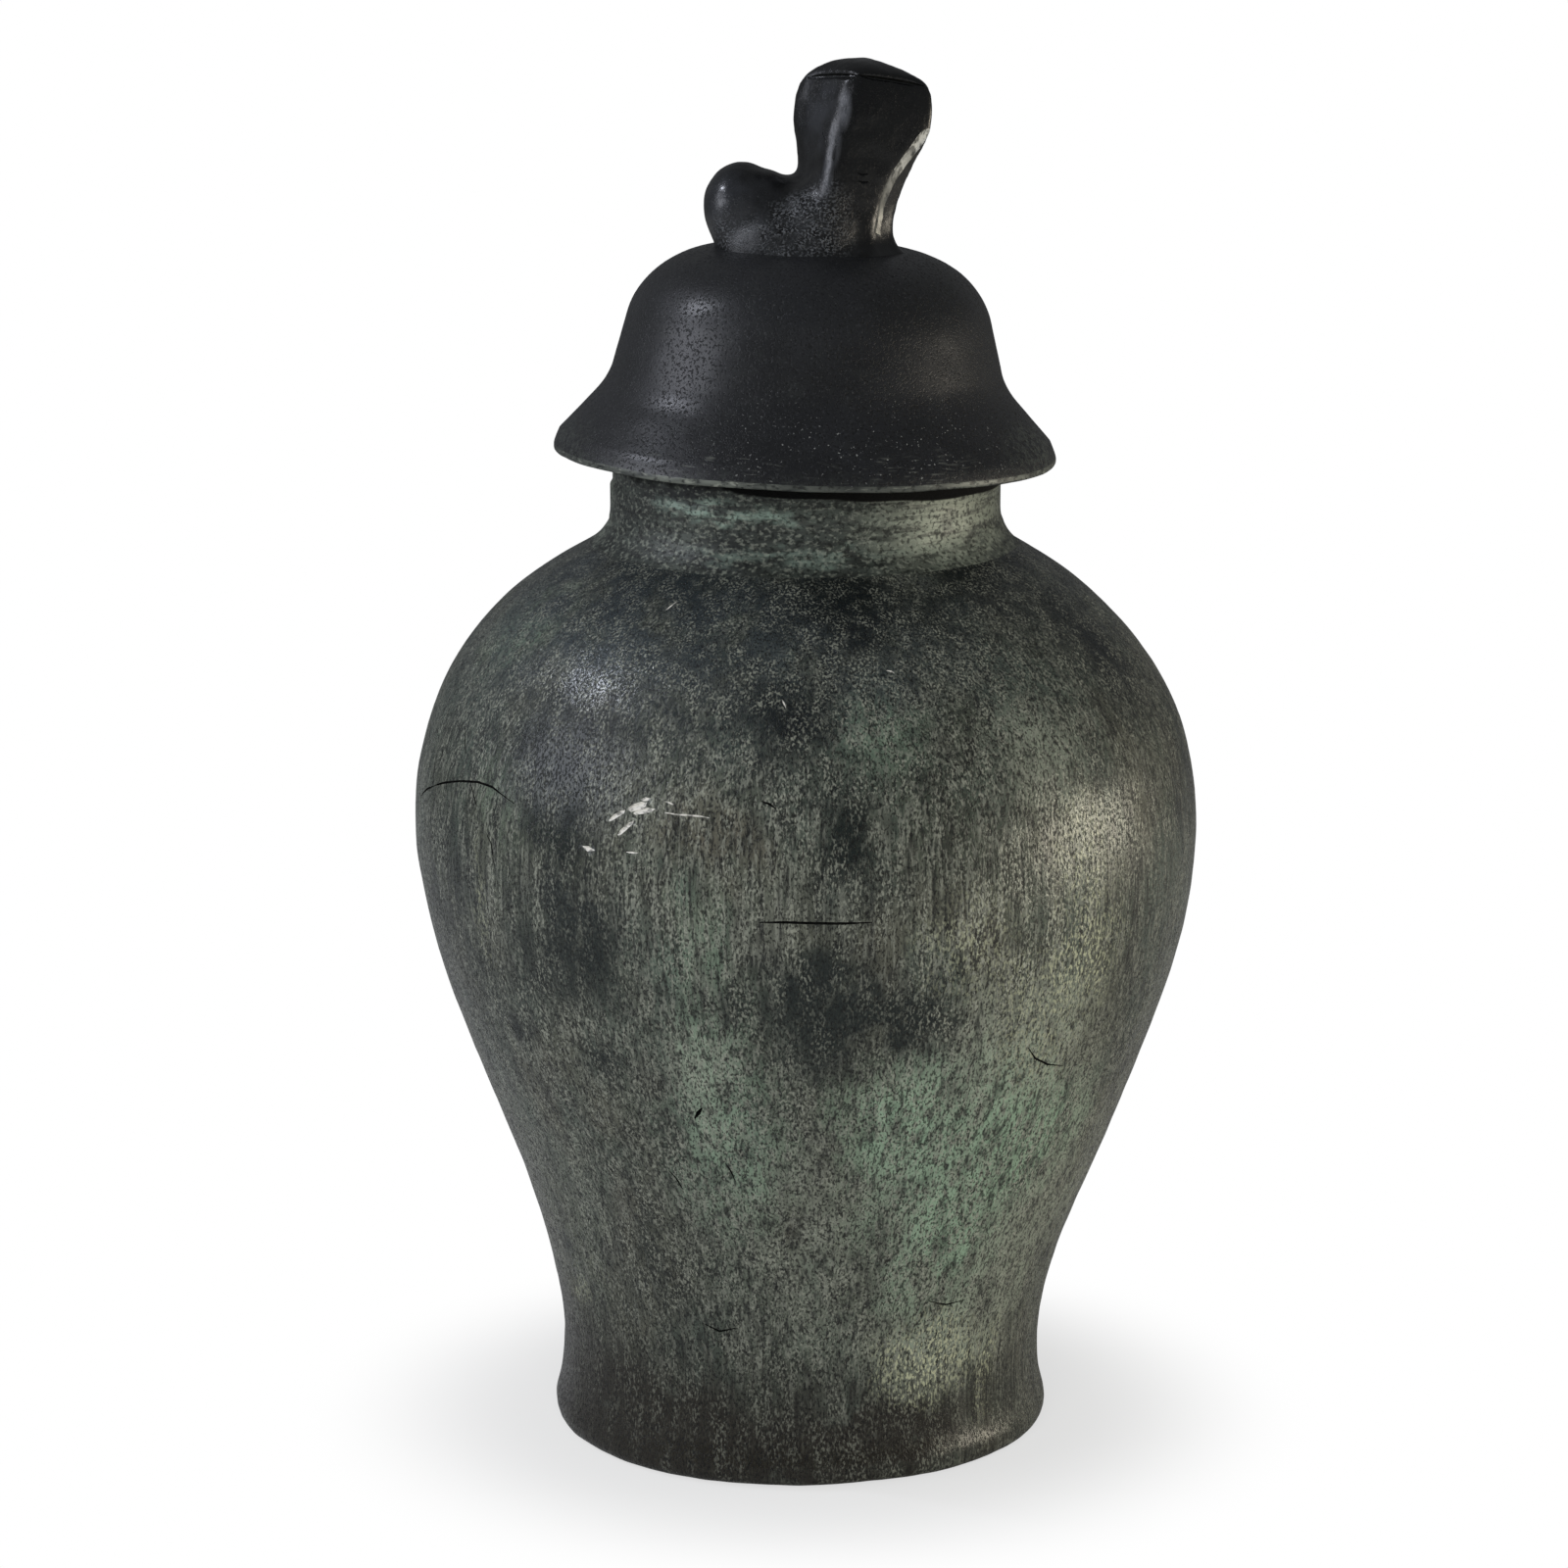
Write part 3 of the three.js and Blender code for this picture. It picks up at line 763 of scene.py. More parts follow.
@dataclass(frozen=True)
class JarShape:
    """Outline of the jar, shared by its castings.

    The fullness of a curve is the share of its rise that its handle takes.
    """

    foot_radius: float = 111.3
    foot_ring_height: float = 7.0
    foot_edge_round: float = 5.8
    land_height: float = 0.6
    land_width: float = 7.0
    waist_radius: float = 108.0
    waist_rise: float = 29.0
    belly_radius: float = 173.0
    belly_rise: float = 239.0
    shoulder_rise: float = 129.0
    neck_radius: float = 85.5
    neck_height: float = 46.0
    neck_wall: float = 6.0
    neck_flare: float = 2.6
    foot_fullness: float = 0.21
    waist_fullness_below: float = 0.77
    waist_fullness_above: float = 0.284
    belly_fullness_below: float = 0.335
    belly_fullness_above: float = 0.74
    shoulder_fullness: float = 0.06
    wall: float = 4.5
    fit_gap: float = 0.3

    @property
    def waist_height(self) -> float:
        """Height of the narrowest place above the foot."""
        return self.foot_ring_height + self.waist_rise

    @property
    def belly_height(self) -> float:
        """Height of the widest place, where the two castings meet."""
        return self.waist_height + self.belly_rise

    @property
    def shoulder_height(self) -> float:
        """Height of the neck's seat."""
        return self.belly_height + self.shoulder_rise

    @property
    def mouth_height(self) -> float:
        """Height of the mouth on the axis."""
        return self.shoulder_height + self.neck_height

    @property
    def neck_seat_radius(self) -> float:
        """Radius at which the shoulder meets the neck."""
        return self.neck_radius + self.neck_flare + self.fit_gap

    @property
    def land_radius(self) -> float:
        """Outer radius of the flat land under the foot."""
        return self.foot_radius - self.foot_edge_round

    def foot_edge(self, steps: int) -> list[Point]:
        """Gives the rounded lower edge of the foot."""
        out, low, high = self.foot_radius, self.land_height, self.foot_ring_height
        return curve(((self.land_radius, low), (out, low), (out, high)), steps)

    def foot(self, steps: int, depth: float = 0.0) -> list[Point]:
        """Gives the curve from the foot ring to the waist."""
        start, end = (self.foot_radius, self.foot_ring_height), (self.waist_radius, self.waist_height)
        return rise(start, end, (self.foot_fullness, self.waist_fullness_below), steps, depth)

    def swell(self, steps: int, depth: float = 0.0) -> list[Point]:
        """Gives the curve from the waist to the belly."""
        start, end = (self.waist_radius, self.waist_height), (self.belly_radius, self.belly_height)
        return rise(start, end, (self.waist_fullness_above, self.belly_fullness_below), steps, depth)

    def shoulder(self, steps: int, depth: float = 0.0) -> list[Point]:
        """Gives the curve from the belly to the neck's seat.

        Args:
            steps: Number of steps along it.
            depth: How far the points are moved inwards.

        Returns:
            One point more than there are steps.
        """
        belly, low = self.belly_radius, self.belly_height
        seat, high = self.neck_seat_radius, self.shoulder_height
        leaving = (belly, low + self.belly_fullness_above * self.shoulder_rise)
        flat = self.shoulder_fullness
        arriving = (seat + flat * (belly - seat), high - flat * self.shoulder_rise)
        return curve(((belly, low), leaving, arriving, (seat, high)), steps, depth)

    def outline(self) -> list[Point]:
        """Gives the outer outline from the foot to the mouth.

        Returns:
            The points, rising.
        """
        foot = [*self.foot_edge(FINE_STEPS), *self.foot(FINE_STEPS)[1:]]
        body = [*self.swell(FINE_STEPS)[1:], *self.shoulder(FINE_STEPS)[1:]]
        return [*foot, *body, (self.neck_radius, self.mouth_height)]


@dataclass
class Jar:
    """The jar's three castings: foot and belly, shoulder, and neck ring."""

    shape: JarShape
    tilt: float
    steps: int = 288
    foot_edge_steps: int = 6
    foot_steps: int = 12
    swell_steps: int = 84
    shoulder_steps: int = 58
    wall_steps: int = 20
    flare_steps: int = 10
    neck_step: float = 2.0
    rim_steps: int = 4
    rim_round: float = 1.6
    lap_depth: float = 18.0
    lap_wall: float = 4.0
    pin_stands_in: float = 0.4
    pin_count: int = 8
    pin_radius: float = 2.5
    pin_length: float = 6.6
    pin_edge: float = 0.4
    pin_sides: int = 24
    pin_under_skin: float = 1.8
    ledge_height: float = 6.6
    ledge_thickness: float = 7.0
    ledge_width: float = 15.0
    spigot_wall: float = 3.6
    spigot_depth: float = 8.0
    neck_sinks: float = 0.3
    hollow_reach: float = 12.5
    hollow_rise: float = 11.0
    skin_depth: float = 1.5
    lattice_half_width: float = 200.0
    lattice_points: int = 19
    lean: tuple[Point, ...] = (
        (0.0, -2.0), (25.0, -2.0), (60.0, -1.0), (135.0, 2.0), (220.0, 1.1),
        (320.0, 0.0), (375.0, -1.7), (430.0, 0.6), (450.0, 0.6),
    )
    waves: tuple[Waves, ...] = (Waves(95.0, 0.9), Waves(26.0, 0.35), Waves(9.0, 0.14))
    belly_scores: tuple[Score, ...] = (
        Score(((-6.2, 270.2), (-2.9, 270.4), (1.4, 270.1), (5.2, 269.8), (9.2, 270.0)), 1.3),
        Score(((-18.0, 177.4), (-17.2, 180.3), (-16.5, 183.0)), 1.9),
        Score(((-24.5, 150.0), (-23.2, 145.8), (-22.4, 141.0)), 0.9),
        Score(((-13.6, 157.0), (-12.8, 153.0), (-12.2, 148.0)), 0.9),
        Score(((27.7, 83.8), (32.3, 80.4), (37.6, 80.6)), 1.0),
        Score(((35.6, 206.0), (37.6, 200.0), (40.6, 195.5), (44.6, 192.6)), 0.95),
        Score(((-22.4, 74.6), (-19.0, 71.6), (-15.0, 74.0)), 1.2),
        Score(((-52.6, 207.0), (-51.4, 203.6)), 1.8),
    )
    dents: tuple[Score, ...] = (Score(((37.6, 205.4), (40.4, 202.0), (43.2, 199.4)), 14.0, 0.6, 0.39),)
    shoulder_scores: tuple[Score, ...] = (
        Score(
            (
                (-75.6, 288.2), (-76.5, 293.8), (-72.5, 299.3), (-66.1, 305.8),
                (-60.4, 309.9), (-55.3, 312.2), (-51.7, 312.0), (-46.2, 307.7),
            ),
            1.1,
        ),
        Score(((-65.6, 337.0), (-61.9, 324.5), (-56.0, 306.0), (-50.4, 289.0), (-49.2, 277.0)), 0.8),
        Score(((-6.2, 319.6), (-5.0, 318.6), (-4.1, 316.8)), 1.1),
        Score(((-75.6, 332.4), (-75.2, 329.6)), 1.8),
        Score(((-69.4, 320.0), (-69.0, 316.6)), 1.8),
        Score(((-74.4, 323.0), (-74.2, 320.6)), 1.6),
    )
    chips: tuple[Score, ...] = (
        Chip(((-29.2, 305.6), (-27.9, 309.2), (-26.6, 311.7), (-25.6, 313.2)), 2.6),
        Chip(((-26.6, 311.2), (-25.0, 313.9), (-23.6, 315.4), (-22.0, 316.8)), 4.4),
        Chip(((-25.4, 310.4), (-24.2, 312.4), (-22.6, 313.6), (-20.4, 314.4)), 3.2),
        Chip(((-24.8, 316.6), (-23.2, 317.8), (-21.2, 318.6)), 2.4),
        Chip(((-27.4, 300.2), (-26.4, 303.8), (-25.2, 307.2), (-23.8, 310.0)), 2.6),
        Chip(((-33.4, 296.2), (-31.6, 295.2), (-29.6, 294.4)), 3.2, 0.3),
        Chip(((-21.0, 313.4), (-18.3, 312.8), (-14.7, 312.7), (-12.4, 311.9)), 0.9),
        Chip(((-20.9, 317.9), (-19.4, 317.2), (-18.1, 315.7)), 1.1),
        Chip(((-26.3, 295.7), (-24.4, 295.9), (-22.6, 296.0)), 1.1),
        Chip(((-31.5, 384.5), (-30.2, 388.1), (-28.9, 391.3)), 1.1),
        Chip(((-4.2, 359.9), (-3.4, 356.7), (-2.7, 353.2)), 1.0),
        Chip(((13.5, 368.6), (15.0, 367.7), (16.3, 366.5)), 1.1),
    )

    def build(
        self, finish: Finish, neck_finish: Finish, bare: Finish, grime_and_shade: Finish, chipped: Finish
    ) -> None:
        """Builds and dresses the castings and the pins that join them.

        Args:
            finish: Finish of the body.
            neck_finish: Finish of the neck ring.
            bare: Finish of the pins.
            grime_and_shade: Finish inside scores and cracks: dirt, with the shade inside them painted in.
            chipped: Finish where the patina is scraped off.
        """
        outline = self.shape.outline()
        belly = self._belly()
        shoulder = self._shoulder()
        neck = self._neck()
        for piece in (belly, shoulder, neck):
            skin = skin_group(piece, outline, self.skin_depth)
            self._lean(piece, skin)
            work_by_hand(piece, self.waves, skin)
        self._level_foot(belly)
        coat(belly, finish)
        coat(shoulder, finish)
        score(belly, self.dents, outline, finish)
        score(belly, self.belly_scores, outline, grime_and_shade)
        score(shoulder, self.shoulder_scores, outline, grime_and_shade)
        score(shoulder, self.chips, outline, chipped)
        for piece in (belly, shoulder, neck):
            smooth(piece)
        settle(belly, finish, Rides.URN, "lower_body")
        settle(shoulder, finish, Rides.URN, "upper_body")
        settle(neck, neck_finish, Rides.URN, "neck_collar")
        pattern = self._pin()
        for i in range(1, self.pin_count + 1):
            pin = copied(pattern, f"lap_pin_{i}")
            self._set_in_lap(pin, f"belly_pin_{i}")
            settle(pin, bare, Rides.URN, f"belly_pin_{i}")
        bpy.data.objects.remove(pattern)

    def _level_foot(self, piece: Piece) -> None:
        """Takes off what the hand's unevenness leaves hanging below the foot's land."""
        for vertex in piece.data.vertices:
            vertex.co.z = max(vertex.co.z, self.shape.land_height / 2 * MM)

    def _pin(self) -> Piece:
        """Makes the pattern of the lap's pins, which lies along X and has its edges broken.

        Returns:
            The pin, with its middle at the origin.
        """
        length, radius = self.pin_length * MM, self.pin_radius * MM
        cylinder = bpy.ops.mesh.primitive_cylinder_add
        pin = added(cylinder, vertices=self.pin_sides, radius=radius, depth=length)
        move(pin, (0, 0, 0), QUARTER_TURN)
        apply_modifier(pin, "BEVEL", width=self.pin_edge * MM, segments=2, limit_method="ANGLE")
        smooth(pin)
        return pin

    def _set_in_lap(self, pin: Piece, node: str) -> None:
        """Sets a pin where its node is, with its outer end well under the skin.

        Args:
            pin: The pin, along X at the origin.
            node: Name of its node.
        """
        low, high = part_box(node)
        middle = (low + high) / 2
        reach = math.hypot(middle.x, middle.y) - self.pin_under_skin * MM / 2
        angle = math.atan2(middle.y, middle.x)
        only(pin)
        pin.location = (reach * math.cos(angle), reach * math.sin(angle), middle.z)
        pin.rotation_euler = (0, 0, angle)
        bpy.ops.object.transform_apply(location=True, rotation=True, scale=True)

    def _lap(self) -> tuple[float, float, float]:
        """Gives the lap's lowest height, and the radii of its bore and of the sleeve inside."""
        foot = self.shape.belly_height - self.lap_depth
        bore = radius_at(self.shape.swell(FINE_STEPS, self.shape.wall), foot)
        return foot, bore, bore - self.shape.fit_gap

    def _belly(self) -> Piece:
        """Turns the lower casting: foot, waist and lower belly.

        Returns:
            The casting.
        """
        shape = self.shape
        lap_foot, lap_bore, _ = self._lap()
        recess = shape.land_radius - shape.land_width
        ledge_top = self.ledge_height + self.ledge_thickness
        inside = [*shape.foot(self.foot_steps, shape.wall), *shape.swell(self.wall_steps, shape.wall)[1:]]
        wall = [p for p in inside if ledge_top < p[1] < lap_foot]
        section = [
            (recess, shape.land_height),
            *shape.foot_edge(self.foot_edge_steps),
            *shape.foot(self.foot_steps)[1:],
            *shape.swell(self.swell_steps)[1:],
            (lap_bore, shape.belly_height),
            (lap_bore, lap_foot),
            *reversed(wall),
            (radius_at(inside, ledge_top), ledge_top),
            (recess - self.ledge_width, ledge_top),
            (recess - self.ledge_width, self.ledge_height),
            (recess, self.ledge_height),
        ]
        return turn("belly_casting", section, self.steps)

    def _shoulder(self) -> Piece:
        """Turns the upper casting: upper belly, shoulder and the sleeve of the lap.

        Returns:
            The casting.
        """
        shape = self.shape
        lap_foot, _, sleeve = self._lap()
        seat_floor = shape.shoulder_height - self.spigot_depth
        opening = shape.neck_radius - shape.neck_wall + self.spigot_wall + shape.fit_gap
        inside = shape.shoulder(self.wall_steps, shape.wall)[1:]
        wall = [p for p in inside if p[1] < seat_floor]
        sleeve_bore = sleeve - self.lap_wall + self.pin_stands_in
        section = [
            (sleeve, shape.belly_height),
            *shape.shoulder(self.shoulder_steps),
            (opening, shape.shoulder_height),
            (opening, seat_floor),
            (radius_at(inside, seat_floor), seat_floor),
            *reversed(wall),
            (sleeve_bore, shape.belly_height + self.lap_wall),
            (sleeve_bore, lap_foot + shape.fit_gap),
            (sleeve, lap_foot + shape.fit_gap),
        ]
        return turn("shoulder_casting", section, self.steps)

    def _neck(self) -> Piece:
        """Turns the neck ring and tilts its rim to the mouth.

        Returns:
            The ring.
        """
        shape = self.shape
        bore = shape.neck_radius - shape.neck_wall
        seat = shape.shoulder_height - self.spigot_depth
        rim, mouth, radius = self.rim_round, shape.mouth_height, shape.neck_radius
        outline = shape.shoulder(FINE_STEPS)
        skirt = next(p for p in outline if p[0] <= radius + self.hollow_reach)
        before = outline[outline.index(skirt) - 1]
        slope = (skirt[1] - before[1]) / (before[0] - skirt[0])
        corner = skirt[1] + slope * (skirt[0] - radius)
        flare_top = corner + self.hollow_rise
        flare = ((skirt[0], skirt[1] - self.neck_sinks), (radius, corner), (radius, flare_top))
        section = [
            (bore, seat),
            (skirt[0], seat),
            *curve(flare, self.flare_steps),
            *straight((radius, flare_top), (radius, mouth - rim), self.neck_step)[1:],
            *curve(((radius, mouth - rim), (radius, mouth), (radius - rim, mouth)), self.rim_steps)[1:],
            *curve(((bore + rim, mouth), (bore, mouth), (bore, mouth - rim)), self.rim_steps),
        ]
        piece = turn("neck_ring", section, self.steps)
        self._tilt_rim(piece, mouth - 2 * rim)
        return piece

    def _tilt_rim(self, piece: Piece, lowest: float) -> None:
        """Tilts the upper part of the neck ring about the middle of the mouth, more with height.

        Args:
            piece: The ring.
            lowest: Height from which it has the whole tilt.
        """
        slope = math.tan(math.radians(self.tilt))
        start = self.shape.shoulder_height + 2 * self.hollow_rise
        for vertex in piece.data.vertices:
            height = vertex.co.z / MM
            share = min(1.0, max(0.0, (height - start) / (lowest - start)))
            vertex.co.z -= share * slope * vertex.co.x

    def _shift_at(self, height: float) -> float:
        """Gives the lean of the skin at a height, eased between the given heights.

        Args:
            height: The height.

        Returns:
            How far the skin stands to the right there.
        """
        for (h0, s0), (h1, s1) in zip(self.lean, self.lean[1:]):
            if height <= h1:
                share = (height - h0) / (h1 - h0)
                return s0 + (s1 - s0) * share * share * (3 - 2 * share)
        return self.lean[-1][1]

    def _lean(self, piece: Piece, group: str) -> None:
        """Leans the skin of a casting to the side, by height, with a lattice.

        Args:
            piece: The casting.
            group: Vertex group of its skin.
        """
        top = self.shape.mouth_height
        wide = 2 * self.lattice_half_width
        cage = added(bpy.ops.object.add, type="LATTICE", location=(0, 0, top / 2 * MM))
        cage.scale = (wide * MM, wide * MM, top * MM)
        cage.data.points_w = self.lattice_points
        for axis in "uvw":
            setattr(cage.data, f"interpolation_type_{axis}", "KEY_CATMULL_ROM")
        for knot in cage.data.points:
            height = (knot.co.z + 0.5) * top
            knot.co_deform.x += self._shift_at(height) / wide
        bpy.context.view_layer.update()
        apply_modifier(piece, "LATTICE", object=cage, vertex_group=group)
        bpy.data.objects.remove(cage)


@dataclass
class FootFittings:
    """What closes and carries the foot: cork disc, base plate and its screws."""

    shape: JarShape
    cork_thickness: float = 2.0
    cork_round: float = 0.5
    edge_steps: int = 3
    steps: int = 128
    screws: int = 4

    def build(self, cork: Finish, bare: Finish) -> None:
        """Builds the cork disc and dresses the plate and its screws.

        Args:
            cork: Finish of the disc.
            bare: Finish of the plate and its fixings.
        """
        radius = self.shape.land_radius - self.shape.land_width - self.shape.fit_gap
        half = radius / 2
        high, edge = self.cork_thickness, self.cork_round
        section = [
            (0.0, 0.0),
            *straight((half, 0.0), (radius - edge, 0.0), half / 2),
            *curve(((radius - edge, 0.0), (radius, 0.0), (radius, edge)), self.edge_steps)[1:],
            *curve(((radius, high - edge), (radius, high), (radius - edge, high)), self.edge_steps),
            (half, high),
            (0.0, high),
        ]
        disc = turn("cork_disc", section, self.steps, Grip.SOLID)
        smooth(disc)
        settle(disc, cork, Rides.URN, "cork_base")
        dress("base_plate", bare)
        for i in range(1, self.screws + 1):
            dress(f"base_plate_screw_{i}", bare)


# The lid


@dataclass(frozen=True)
class LidShape:
    """Outline of the lid above its mouth."""

    neck_radius: float = 85.5
    brim_overhang: float = 24.3
    brim_drop: float = 11.5
    lip_height: float = 8.0
    lip_round: float = 2.2
    band_height: float = 3.0
    band_round: float = 1.0
    step: float = 0.9
    flare_rise: float = 20.0
    flare_fillet: float = 7.0
    side_rise: float = 28.0
    taper: float = 7.1
    shoulder_rise: float = 30.0
    shoulder_fullness: float = 0.5
    crown_fullness: float = 0.54
    crown_slope: float = 0.2
    crown_radius: float = 44.0
    wall: float = 4.0
    backing_reach: float = 4.5
    backing_height: float = 5.9

    @property
    def brim_radius(self) -> float:
        """Greatest radius of the brim."""
        return self.neck_radius + self.brim_overhang

    @property
    def side_top(self) -> float:
        """Height at which the straight side ends."""
        return self.flare_rise + self.side_rise

    @property
    def crown_height(self) -> float:
        """Height of the flat crown."""
        return self.side_top + self.shoulder_rise

    def lip(self, steps: int) -> list[Point]:
        """Gives the edge of the brim from below: a flat band between two small rounds.

        Args:
            steps: Steps along each round.

        Returns:
            The points, rising.
        """
        edge, low = self.brim_radius, -self.brim_drop
        top = low + self.band_height
        start = (edge - self.lip_round, low + self.lip_height)
        return [
            *curve(((edge - self.band_round, low), (edge, low), (edge, low + self.band_round)), steps),
            *curve(((edge, top - self.band_round), (edge, top), start), steps)[:-1],
            start,
        ]

    def side(self, depth: float, step: float, fine: int) -> list[Point]:
        """Gives the outline from the lip to the crown.

        Args:
            depth: How far inside the outer face it runs.
            step: Longest step along its straight stretches.
            fine: Steps along its curved stretches.

        Returns:
            The points, rising.
        """
        corner = Vector((self.neck_radius + self.step, self.flare_rise))
        end = Vector((corner.x - self.taper, self.side_top))
        brim = Vector((self.brim_radius - self.lip_round, self.lip_height - self.brim_drop))
        flare_end = corner.lerp(brim, self.flare_fillet / (self.flare_rise - brim.y))
        side_start = corner.lerp(end, self.flare_fillet / self.side_rise)
        onward = corner.lerp(end, 1 + self.shoulder_rise / self.side_rise)
        reach = self.crown_fullness * (end.x - self.crown_radius)
        crown = Vector((self.crown_radius, self.crown_height))
        before = Vector((crown.x + reach, crown.y - self.crown_slope * reach))
        flare = max(1, math.ceil((flare_end - brim).length / step))
        upright = max(1, math.ceil((end - side_start).length / step))
        return [
            *curve((brim, flare_end), flare, depth),
            *curve((flare_end, corner, side_start), fine, depth)[1:],
            *curve((side_start, end), upright, depth)[1:],
            *curve((end, end.lerp(onward, self.shoulder_fullness), before, crown), 2 * fine, depth)[1:],
        ]


@dataclass
class Lid:
    """The lid: its bell, the ring that centres it, and the ring's screws."""

    shape: LidShape
    mouth_height: float
    tilt: float
    steps: int = 288
    step: float = 2.2
    fine: int = 10
    inside_step: float = 8.8
    inside_fine: int = 5
    crown_step: float = 8.0
    lip_steps: int = 4
    hole: float = 4.3
    skin_depth: float = 1.2
    worn_depth: float = 1.4
    worn_height: float = -8.8
    bore: float = 74.5
    spigot: float = 77.5
    spigot_depth: float = 12.0
    flange_height: float = 2.6
    flange_thickness: float = 3.0
    edge_round: float = 0.6
    waves: tuple[Waves, ...] = (Waves(70.0, 0.6), Waves(20.0, 0.22), Waves(7.0, 0.07))
    screw_count: int = 4
    screw_head: float = 3.8
    screw_rim: float = 0.4
    screw_cone: float = 2.0
    screw_shank: float = 2.0
    screw_clearance: float = 0.15
    sink_below: float = 1.0
    slot_width: float = 0.9
    slot_depth: float = 0.8
    screw_steps: int = 40

    def build(self, finish: Finish, worn: Finish, bare: Finish) -> None:
        """Builds and dresses the bell, the locating ring and its screws.

        Args:
            finish: Finish of the bell.
            worn: Finish of the brim's edge.
            bare: Finish of the ring and its screws.
        """
        bell = self._bell()
        coat(bell, finish)
        bell.data.materials.append(worn.material())
        for face in bell.data.polygons:
            out = math.hypot(face.center.x, face.center.y) / MM > self.shape.brim_radius - self.worn_depth
            face.material_index = int(out and face.center.z / MM < self.worn_height)
        self.set_on_mouth(bell)
        smooth(bell)
        settle(bell, finish, Rides.LID, "lid_shell")
        ring = self._ring()
        places = self._screw_places()
        sink, pattern = self._screw("sink", self.screw_clearance), self._screw("screw")
        cut(ring, [copied(sink, "sink", place) for place in places])
        self.set_on_mouth(ring)
        smooth(ring)
        settle(ring, bare, Rides.LID, "locating_ring")
        for i, place in enumerate(places, 1):
            screw = copied(pattern, f"ring_screw_{i}", place)
            self.set_on_mouth(screw)
            smooth(screw)
            settle(screw, bare, Rides.LID, f"locating_ring_screw_{i}")
        for piece in (sink, pattern):
            bpy.data.objects.remove(piece)

    def set_on_mouth(self, piece: Piece, height: float = 0.0) -> None:
        """Stands a piece on the tilted mouth, some way above it."""
        move(piece, (0, 0, height))
        move(piece, (0, 0, self.mouth_height), self.tilt)

    def _bell(self) -> Piece:
        """Turns the bell of the lid with its brim.

        Returns:
            The bell, with heights from the mouth.
        """
        shape = self.shape
        outside = shape.side(0.0, self.step, self.fine)
        inside = shape.side(shape.wall, self.inside_step, self.inside_fine)
        lip = shape.lip(self.lip_steps)
        floor = shape.crown_height - shape.wall
        backing = shape.neck_radius - shape.backing_reach
        dome = [p for p in inside if p[0] < backing and p[1] < floor]
        under = radius_at(inside, shape.backing_height)
        backing_top = next(
            h0 + (h1 - h0) * (backing - r0) / (r1 - r0)
            for (r0, h0), (r1, h1) in zip(inside, inside[1:])
            if r1 <= backing <= r0
        )
        top = shape.crown_height
        crown = straight((shape.crown_radius, top), (self.hole, top), self.crown_step)
        section = [
            *lip,
            *outside[1:],
            *crown[1:],
            (self.hole, floor),
            (shape.crown_radius - shape.wall, floor),
            *reversed(dome),
            (backing, backing_top),
            (backing, shape.backing_height),
            (under, shape.backing_height),
            inside[0],
            (shape.brim_radius - shape.lip_round - shape.wall, -shape.brim_drop),
        ]
        piece = turn("lid_bell", section, self.steps)
        skin = skin_group(piece, [*lip, *outside[1:]], self.skin_depth)
        work_by_hand(piece, self.waves, skin)
        return piece

    def _ring(self) -> Piece:
        """Turns the ring under the lid that drops into the mouth.

        Returns:
            The ring, with heights from the mouth.
        """
        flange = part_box("locating_ring")[1].y / MM
        low, high, edge = self.flange_height, self.flange_height + self.flange_thickness, self.edge_round
        foot = -self.spigot_depth
        section = [
            (self.bore, foot + edge),
            (self.bore + edge, foot),
            (self.spigot - edge, foot),
            (self.spigot, foot + edge),
            (self.spigot, low),
            (flange - edge, low),
            (flange, low + edge),
            (flange, high),
            (self.bore, high),
        ]
        return turn("spigot_ring", section, self.steps // 2)

    def _screw_places(self) -> list[Place]:
        """Gives where the ring's screws have their heads, from the mouth's middle."""
        low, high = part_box("locating_ring_screw_2")
        radius = (low.y + high.y) / 2 / MM
        turns = [2 * math.pi * i / self.screw_count for i in range(self.screw_count)]
        return [(radius * math.cos(t), radius * math.sin(t), self.flange_height) for t in turns]

    def _screw(self, name: str, clearance: float = 0.0) -> Piece:
        """Makes the pattern of the slotted screws, which point up, or of the cutter for their holes.

        Args:
            name: Name of the piece.
            clearance: How much wider the hole is, or nothing for the screw.

        Returns:
            The piece, with the face of its head at the origin.
        """
        low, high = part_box("locating_ring_screw_2")
        length = (high.z - low.z) / MM
        head, shank = self.screw_head + clearance, self.screw_shank + clearance
        foot = -self.sink_below if clearance else 0.0
        section = [
            (0.0, foot),
            (head, foot),
            (head, self.screw_rim),
            (shank, self.screw_rim + self.screw_cone),
            (shank, length - clearance),
            (0.0, length - clearance),
        ]
        piece = turn(name, section, self.screw_steps, Grip.SOLID)
        if not clearance:
            slot = added(bpy.ops.mesh.primitive_cube_add, size=MM)
            slot.scale = (3 * head, self.slot_width, 2 * self.slot_depth)
            bpy.ops.object.transform_apply(scale=True)
            cut(piece, [slot])
        return piece


@dataclass(frozen=True)
class Level:
    """One level of the block's cage, by its five corners along X, Y and Z.

    The ridge is taken off to a narrow flat, which is what catches the light.
    """

    left: Place
    ridge: Place
    bevel: Place
    right: Place
    back: Place
    flat_left: float = 5.4
    flat_front: float = 3.4

    def corners(self) -> tuple[Vector, ...]:
        """Gives the corners in turn, as seen from above and against the clock.

        Returns:
            Six corners, two of them for the flat on the ridge.
        """
        right, back, left, ridge, bevel = (
            Vector(p) for p in (self.right, self.back, self.left, self.ridge, self.bevel)
        )
        start = ridge + (left - ridge).normalized() * self.flat_left
        end = ridge + (bevel - ridge).normalized() * self.flat_front
        return (right, back, left, start, end, bevel)


@dataclass(frozen=True)
class Mound:
    """A rounded mass of the figure: its middle and half its size along X, Y and Z."""

    middle: Place
    reach: Place


